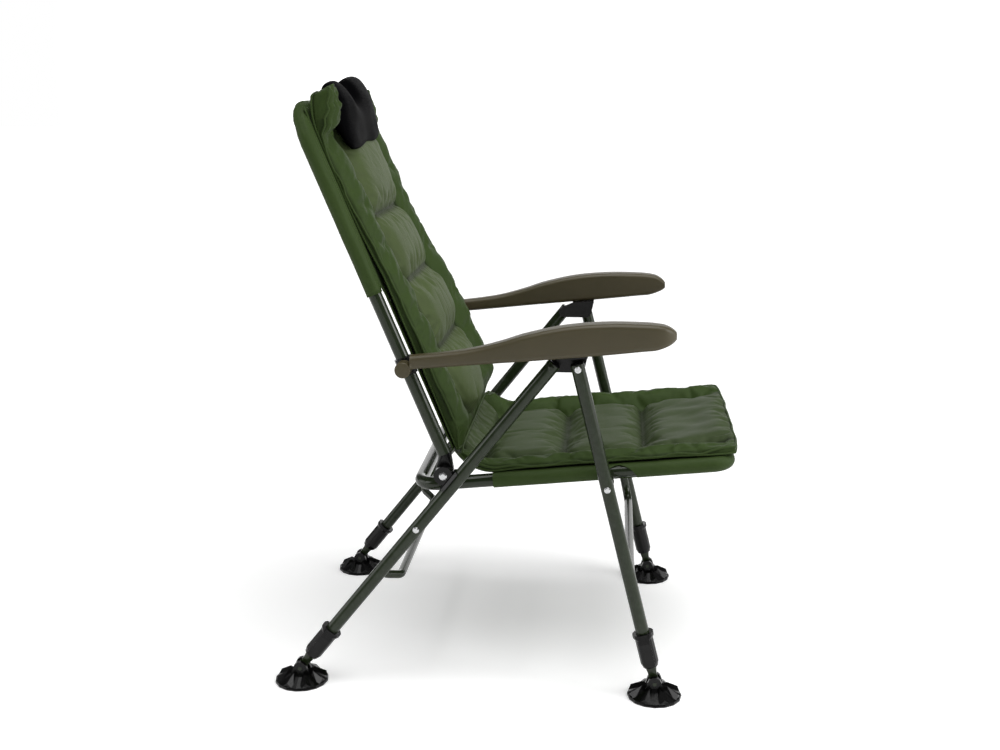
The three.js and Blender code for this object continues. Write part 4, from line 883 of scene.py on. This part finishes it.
def back_top(t, y):
    """How far the pad's face stands in front of the tubes' axes."""
    e = max(0.0, BACK_PAD_HALF - abs(y))
    near, far = along_table(NEAR_CREST, t), along_table(FAR_CREST, t)
    low = along_table(FAR_SEAM, t)
    if y < 0:
        rim = along_table(NEAR_RIM, t)
        border = rim + (near - rim) * puffed(e, NEAR_PUFF) - SEAM_DROP * smooth_step(e, NEAR_PUFF, BACK_SEAM)
    else:
        border = low + (far - low) * (1 - smooth_step(e, FAR_FLAT, BACK_SEAM + FAR_PAST))
        border -= FAR_DROP * (1 - puffed(e, FAR_PUFF))
    border += BORDER_CREASE * ripple(t * 0.9 + y * 0.5, y * 1.5, 3.3, 0.045) * puffed(e, 0.02)
    border += BORDER_PLEAT * (0.5 - abs(ripple(t * 1.1 - y, y * 0.8, 12.3, 0.030))) * puffed(e, 0.02)
    share = (y / (BACK_PAD_HALF - BACK_SEAM) + 1) / 2
    valley = (near - SEAM_DROP) * (1 - share) + low * share
    folds = TOP_FOLD * ripple(t * 1.6 + y * 1.4, (y - t) * 0.6, 6.1, 0.018) * smooth_step(t, 0.50, 0.60)
    crown = LOBE_HIGH + LOBE_CROWN * (1 - (y / (BACK_PAD_HALF - BACK_SEAM)) ** 2)
    lobe = valley + crown * puffed(back_lobe(t, y), LOBE_SOFT) + folds
    lobe += 0.001 * ripple(t, y, 8.8, 0.045)
    face = border if abs(y) > panel_half(t) else lobe
    under_pillow = smooth_step(t, PILLOW_FROM, PILLOW_FROM + PILLOW_RUN) * smooth_step(e, 0.05, 0.075)
    face += (PILLOW_BED - face) * under_pillow
    face += corner_roll(t, y)
    foot = smooth_step(t - BACK_PAD_FROM, 0.0, PAD_FOOT_RUN)
    return PAD_FACE + (face - PAD_FACE) * foot + back_curl(t, y)


def back_under(t, y):
    """How far the pad's rear stands in front of the tubes' axes."""
    edge = 1 - smooth_step(BACK_PAD_HALF - abs(y), 0.0, 0.06)
    return PAD_BEHIND + (along_table(REAR_RIM, t) - PAD_BEHIND) * edge + back_curl(t, y)


def back_at(a, b, height_of):
    """A point of the back pad from a square grid, and its place in the flat cloth."""
    u, v = pad_corner(a, b)
    t = (BACK_PAD_FROM + BACK_PAD_TO) / 2 + (BACK_PAD_TO - BACK_PAD_FROM) / 2 * u
    y = (BACK_PAD_HALF + BACK_SIDE_WAVE * ripple(t, math.copysign(1, v), 7.1, 0.045)) * v
    return on_back(t, height_of(t, y), y), (t, y)


def back_held(t, y, top):
    """Where the back pad's cloth is sewn down."""
    e = BACK_PAD_HALF - abs(y)
    if top < 0.5 or e < RIM_GRIP or t < BACK_PAD_FROM + RIM_GRIP or t > BACK_PAD_TO - RIM_GRIP:
        return 1.0
    seam = 1 - abs(abs(y) - panel_half(t)) / BACK_SEAM_WIDE
    channel = max(1 - abs(t - at) / BACK_SEAM_WIDE for at in BACK_SEAMS) if abs(y) < panel_half(t) else 0
    return min(1.0, SEAM_GRIP * max(seam, channel, 0))


back_pad = pad_of("back_pad", pad_cloth, back_at, back_top, back_under, 130, 92, back_lobe, back_held,
                  "backrest", ["back_cushion"])
front_piping = piping("back_pad_front_piping", back_at, back_top, "backrest")
rear_piping = piping("back_pad_rear_piping", back_at, back_under, "backrest")
flattened(back_pad, front_piping, rear_piping, along=back_out, towards=on_back(0, PAD_BEHIND))

# Headrest pillow: a plump black bolster, stuffed and sewn shut, and drawn in at its middle.
# It lies on the pad just under the arch.
PILLOW_T, PILLOW_N, PILLOW_HALF = 0.682, 0.042, 0.168
WAIST_AT, WAIST_WIDE, WAIST_DOWN, WAIST_IN = 0.16, 0.20, 0.017, 0.013
PILLOW_LEAN, PILLOW_WAVE = 0.008, 0.0016
THIN_BELOW, THIN_RUN, THIN_SHARE = 0.700, 0.075, 0.42
PILLOW_THICK = [(0, 0.024), (0.2, 0.025), (0.45, 0.026), (0.62, 0.025), (0.78, 0.022), (0.9, 0.017),
                (0.97, 0.010), (1, 0)]
PILLOW_HIGH = [(0, 0.059), (0.2, 0.061), (0.45, 0.063), (0.75, 0.061), (0.9, 0.053), (0.97, 0.034), (1, 0)]
pillow_cloth = cloth_of("pillow_cloth", "030304", "070708", rough=(0.44, 0.55), IOR=1.04)


def fuller(wave, power):
    """A wave from -1 to 1 with its sides filled out."""
    return math.copysign(abs(wave) ** power, wave)


bm = bmesh.new()
layer = bm.loops.layers.uv.new("cloth")
lying = Matrix.Rotation(math.pi / 2, 4, "X")
bmesh.ops.create_uvsphere(bm, u_segments=72, v_segments=96, radius=1, matrix=lying)
for face in bm.faces:
    for loop in face.loops:
        p = loop.vert.co
        loop[layer].uv = (p.y * 0.2, math.atan2(p.x, p.z) * 0.05)
for vert in bm.verts:
    p = vert.co.copy()
    turn = math.atan2(p.z, p.x)
    reach = fuller(p.y, 0.7)
    share = abs(reach)
    tall = along_table(PILLOW_HIGH, share) * fuller(math.sin(turn), 0.8)
    waist = math.exp(-((reach + WAIST_AT) / WAIST_WIDE) ** 2) * smooth_step(tall, -0.02, 0.05)
    tall *= 1.0 if tall > 0 else 1.14
    t = PILLOW_T + PILLOW_LEAN * reach + tall - WAIST_DOWN * waist
    thick = along_table(PILLOW_THICK, share) * (1 - THIN_SHARE * smooth_step(THIN_BELOW - t, 0.0, THIN_RUN))
    n = PILLOW_N + thick * fuller(math.cos(turn), 0.8) - WAIST_IN * waist
    n += PILLOW_WAVE * ripple(t * 1.2, p.y * 0.16, 4.4, 0.05)
    vert.co = on_back(t, n, PILLOW_HALF * reach)
pillow = finished("pillow", bm, pillow_cloth, "backrest", ["headrest_pillow"], sharp=80)

# Armrests: moulded grey-brown plastic arms that swell forwards to a blunt nose.
# Each is hollow at the rear end, where a drum on the back tube's clamp turns in it.
ARM_INNER = 0.2845
ARM_TOP = [(-0.112, 0.643), (-0.057, 0.649), (-0.001, 0.658), (0.054, 0.673), (0.093, 0.686),
           (0.163, 0.702), (0.234, 0.709), (0.306, 0.709), (0.337, 0.706), (0.350, 0.701), (0.358, 0.695),
           (0.361, 0.691)]
ARM_UNDER = [(-0.112, 0.618), (-0.057, 0.623), (-0.001, 0.629), (0.054, 0.635), (0.093, 0.639),
             (0.163, 0.646), (0.234, 0.653), (0.306, 0.661), (0.326, 0.663), (0.342, 0.668), (0.355, 0.674),
             (0.361, 0.679)]
ARM_WIDE = [(-0.112, 0.027), (-0.057, 0.029), (-0.001, 0.033), (0.054, 0.038), (0.093, 0.042), (0.163, 0.043),
            (0.306, 0.042), (0.337, 0.038), (0.350, 0.032), (0.358, 0.024), (0.361, 0.017)]
ARM_REAR, ARM_TIP, ARM_PIN = -0.112, 0.361, 0.1888
ARM_ROUND, ARM_ROUND_SHARE, ARM_STEPS = 0.0085, 0.45, 8
KNUCKLE_R, KNUCKLE_DEEP, KNUCKLE_ROUND = 0.0146, 0.027, 0.002


def arm_section(x, share):
    """A point of the armrest's rounded section, by its share of the way round."""
    top, under, wide = (along_table(table, x) for table in (ARM_TOP, ARM_UNDER, ARM_WIDE))
    corner = min(int(share * 4), 3)
    angle = math.pi / 2 * (corner + (share * 4 - corner) * (ARM_STEPS + 1) / ARM_STEPS)
    angle = min(angle, math.pi / 2 * (corner + 1))
    r = min(ARM_ROUND, wide * ARM_ROUND_SHARE, (top - under) * ARM_ROUND_SHARE)
    y = ARM_INNER + (wide - r if corner in (0, 3) else r) + r * math.cos(angle)
    return y, (top - r if corner in (0, 1) else under + r) + r * math.sin(angle)


clamp = in_plane(middle_of("clamp_drum_L"))
arm_shift = front_top.x - ARM_PIN
for mark, side in SIDES.items():
    bm = bmesh.new()
    skin = bmesh.ops.create_grid(bm, x_segments=80, y_segments=4 * (ARM_STEPS + 1), size=1)
    for vert in skin["verts"]:
        x = ARM_REAR + (ARM_TIP - ARM_REAR) * (1 - ((1 - vert.co.x) / 2) ** 1.6)
        y, z = arm_section(x, (vert.co.y + 1) / 2 % 1)
        vert.co = Vector((x + arm_shift, side * y, z))
    bmesh.ops.remove_doubles(bm, verts=bm.verts, dist=1e-5)
    bmesh.ops.holes_fill(bm, edges=[e for e in bm.edges if e.is_boundary], sides=0)
    middle = clamp + across * side * (ARM_INNER + KNUCKLE_DEEP / 2)
    knuckle = disc(bm, middle, KNUCKLE_R, KNUCKLE_DEEP, 48)
    rim = {e for v in knuckle for e in v.link_edges if any(len(f.verts) > 4 for f in e.link_faces)}
    bmesh.ops.bevel(bm, geom=list(rim), offset=KNUCKLE_ROUND, segments=3, profile=0.5, affect="EDGES",
                    material=-1)
    replaced = [f"armrest_{mark}"]
    finished(f"armrest_shell_{mark}", bm, arm_plastic, "armrests", replaced, sharp=50)

# Studio: a pale floor and white all round, with a broad lamp over the chair and a soft one towards each end.
# Only the camera sees the floor's glow, and shiny pieces see dark walls between bright ones.
FLOOR_SHADE, FLOOR_GLOW = 0.95, 0.20
floor_bm = bmesh.new()
bmesh.ops.create_grid(floor_bm, x_segments=1, y_segments=1, size=30)
floor = linked("floor", floor_bm)
pale = bpy.data.materials.new("pale_floor")
pale.use_nodes = True
tree = pale.node_tree
tree.nodes.clear()
out = node(tree, "ShaderNodeOutputMaterial")
matte = node(tree, "ShaderNodeBsdfDiffuse", {"Color": (FLOOR_SHADE, FLOOR_SHADE, FLOOR_SHADE, 1)})
seen = node(tree, "ShaderNodeLightPath").outputs["Is Camera Ray"]
glow = node(tree, "ShaderNodeEmission", {"Strength": seen, "Color": (FLOOR_GLOW, FLOOR_GLOW, FLOOR_GLOW, 1)})
both = node(tree, "ShaderNodeAddShader", {0: matte.outputs[0], 1: glow.outputs[0]})
tree.links.new(both.outputs[0], out.inputs["Surface"])
floor.data.materials.append(pale)

WHITE = (1, 1, 1, 1)
world = bpy.data.worlds.new("studio")
bpy.context.scene.world = world
world.use_nodes = True
tree = world.node_tree
tree.nodes.clear()
out = node(tree, "ShaderNodeOutputWorld")


def larger(first, second):
    """The larger of two values in the world's shader."""
    return node(tree, "ShaderNodeMath", {0: first, 1: second}, operation="MAXIMUM").outputs[0]


seen = node(tree, "ShaderNodeLightPath").outputs
mirrored = larger(larger(seen["Is Camera Ray"], seen["Is Glossy Ray"]), seen["Is Transmission Ray"])
generated = node(tree, "ShaderNodeTexCoord").outputs["Generated"]
ways = node(tree, "ShaderNodeSeparateXYZ", {0: generated}).outputs
lengthways = node(tree, "ShaderNodeMath", {0: ways["X"]}, operation="ABSOLUTE").outputs[0]
facing = larger(larger(lengthways, ways["Y"]), ways["Z"])
walls = node(tree, "ShaderNodeMapRange", {"Value": facing, "From Min": 0.84, "From Max": 0.98, "To Min": 0.10,
                                          "To Max": 1.7}, interpolation_type="SMOOTHSTEP").outputs["Result"]
white = node(tree, "ShaderNodeBackground", {"Color": WHITE, "Strength": larger(walls, seen["Is Camera Ray"])})
from_front = node(tree, "ShaderNodeMapRange", {"Value": ways["X"], "From Min": -0.4, "From Max": 1.0,
                                               "To Min": 0.09, "To Max": 0.95}).outputs["Result"]
soft = node(tree, "ShaderNodeBackground", {"Color": WHITE, "Strength": from_front})
which = node(tree, "ShaderNodeMixShader", {0: mirrored, 1: soft.outputs[0], 2: white.outputs[0]})
tree.links.new(which.outputs[0], out.inputs["Surface"])

ceiling = bpy.data.lights.new("ceiling", "SUN")
ceiling.energy = 2.1
ceiling.angle = math.radians(52)
lamp = bpy.data.objects.new("ceiling", ceiling)
lamp.rotation_euler = (math.radians(14), math.radians(5), 0)
bpy.context.scene.collection.objects.link(lamp)


def softbox(name, place, target, size, power):
    """A square lamp that looks at a point."""
    light = bpy.data.lights.new(name, "AREA")
    light.shape = "SQUARE"
    light.size = size
    light.energy = power
    lamp = bpy.data.objects.new(name, light)
    lamp.location = place
    lamp.rotation_euler = (Vector(target) - Vector(place)).to_track_quat("-Z", "Y").to_euler()
    bpy.context.scene.collection.objects.link(lamp)


softbox("left", place=(-2.6, -1.2, 1.6), target=(0, 0, 0.6), size=1.0, power=8)
softbox("right", place=(2.4, -0.5, 1.6), target=(-0.2, 0, 0.7), size=1.2, power=26)
bpy.context.scene.view_settings.view_transform = "Standard"
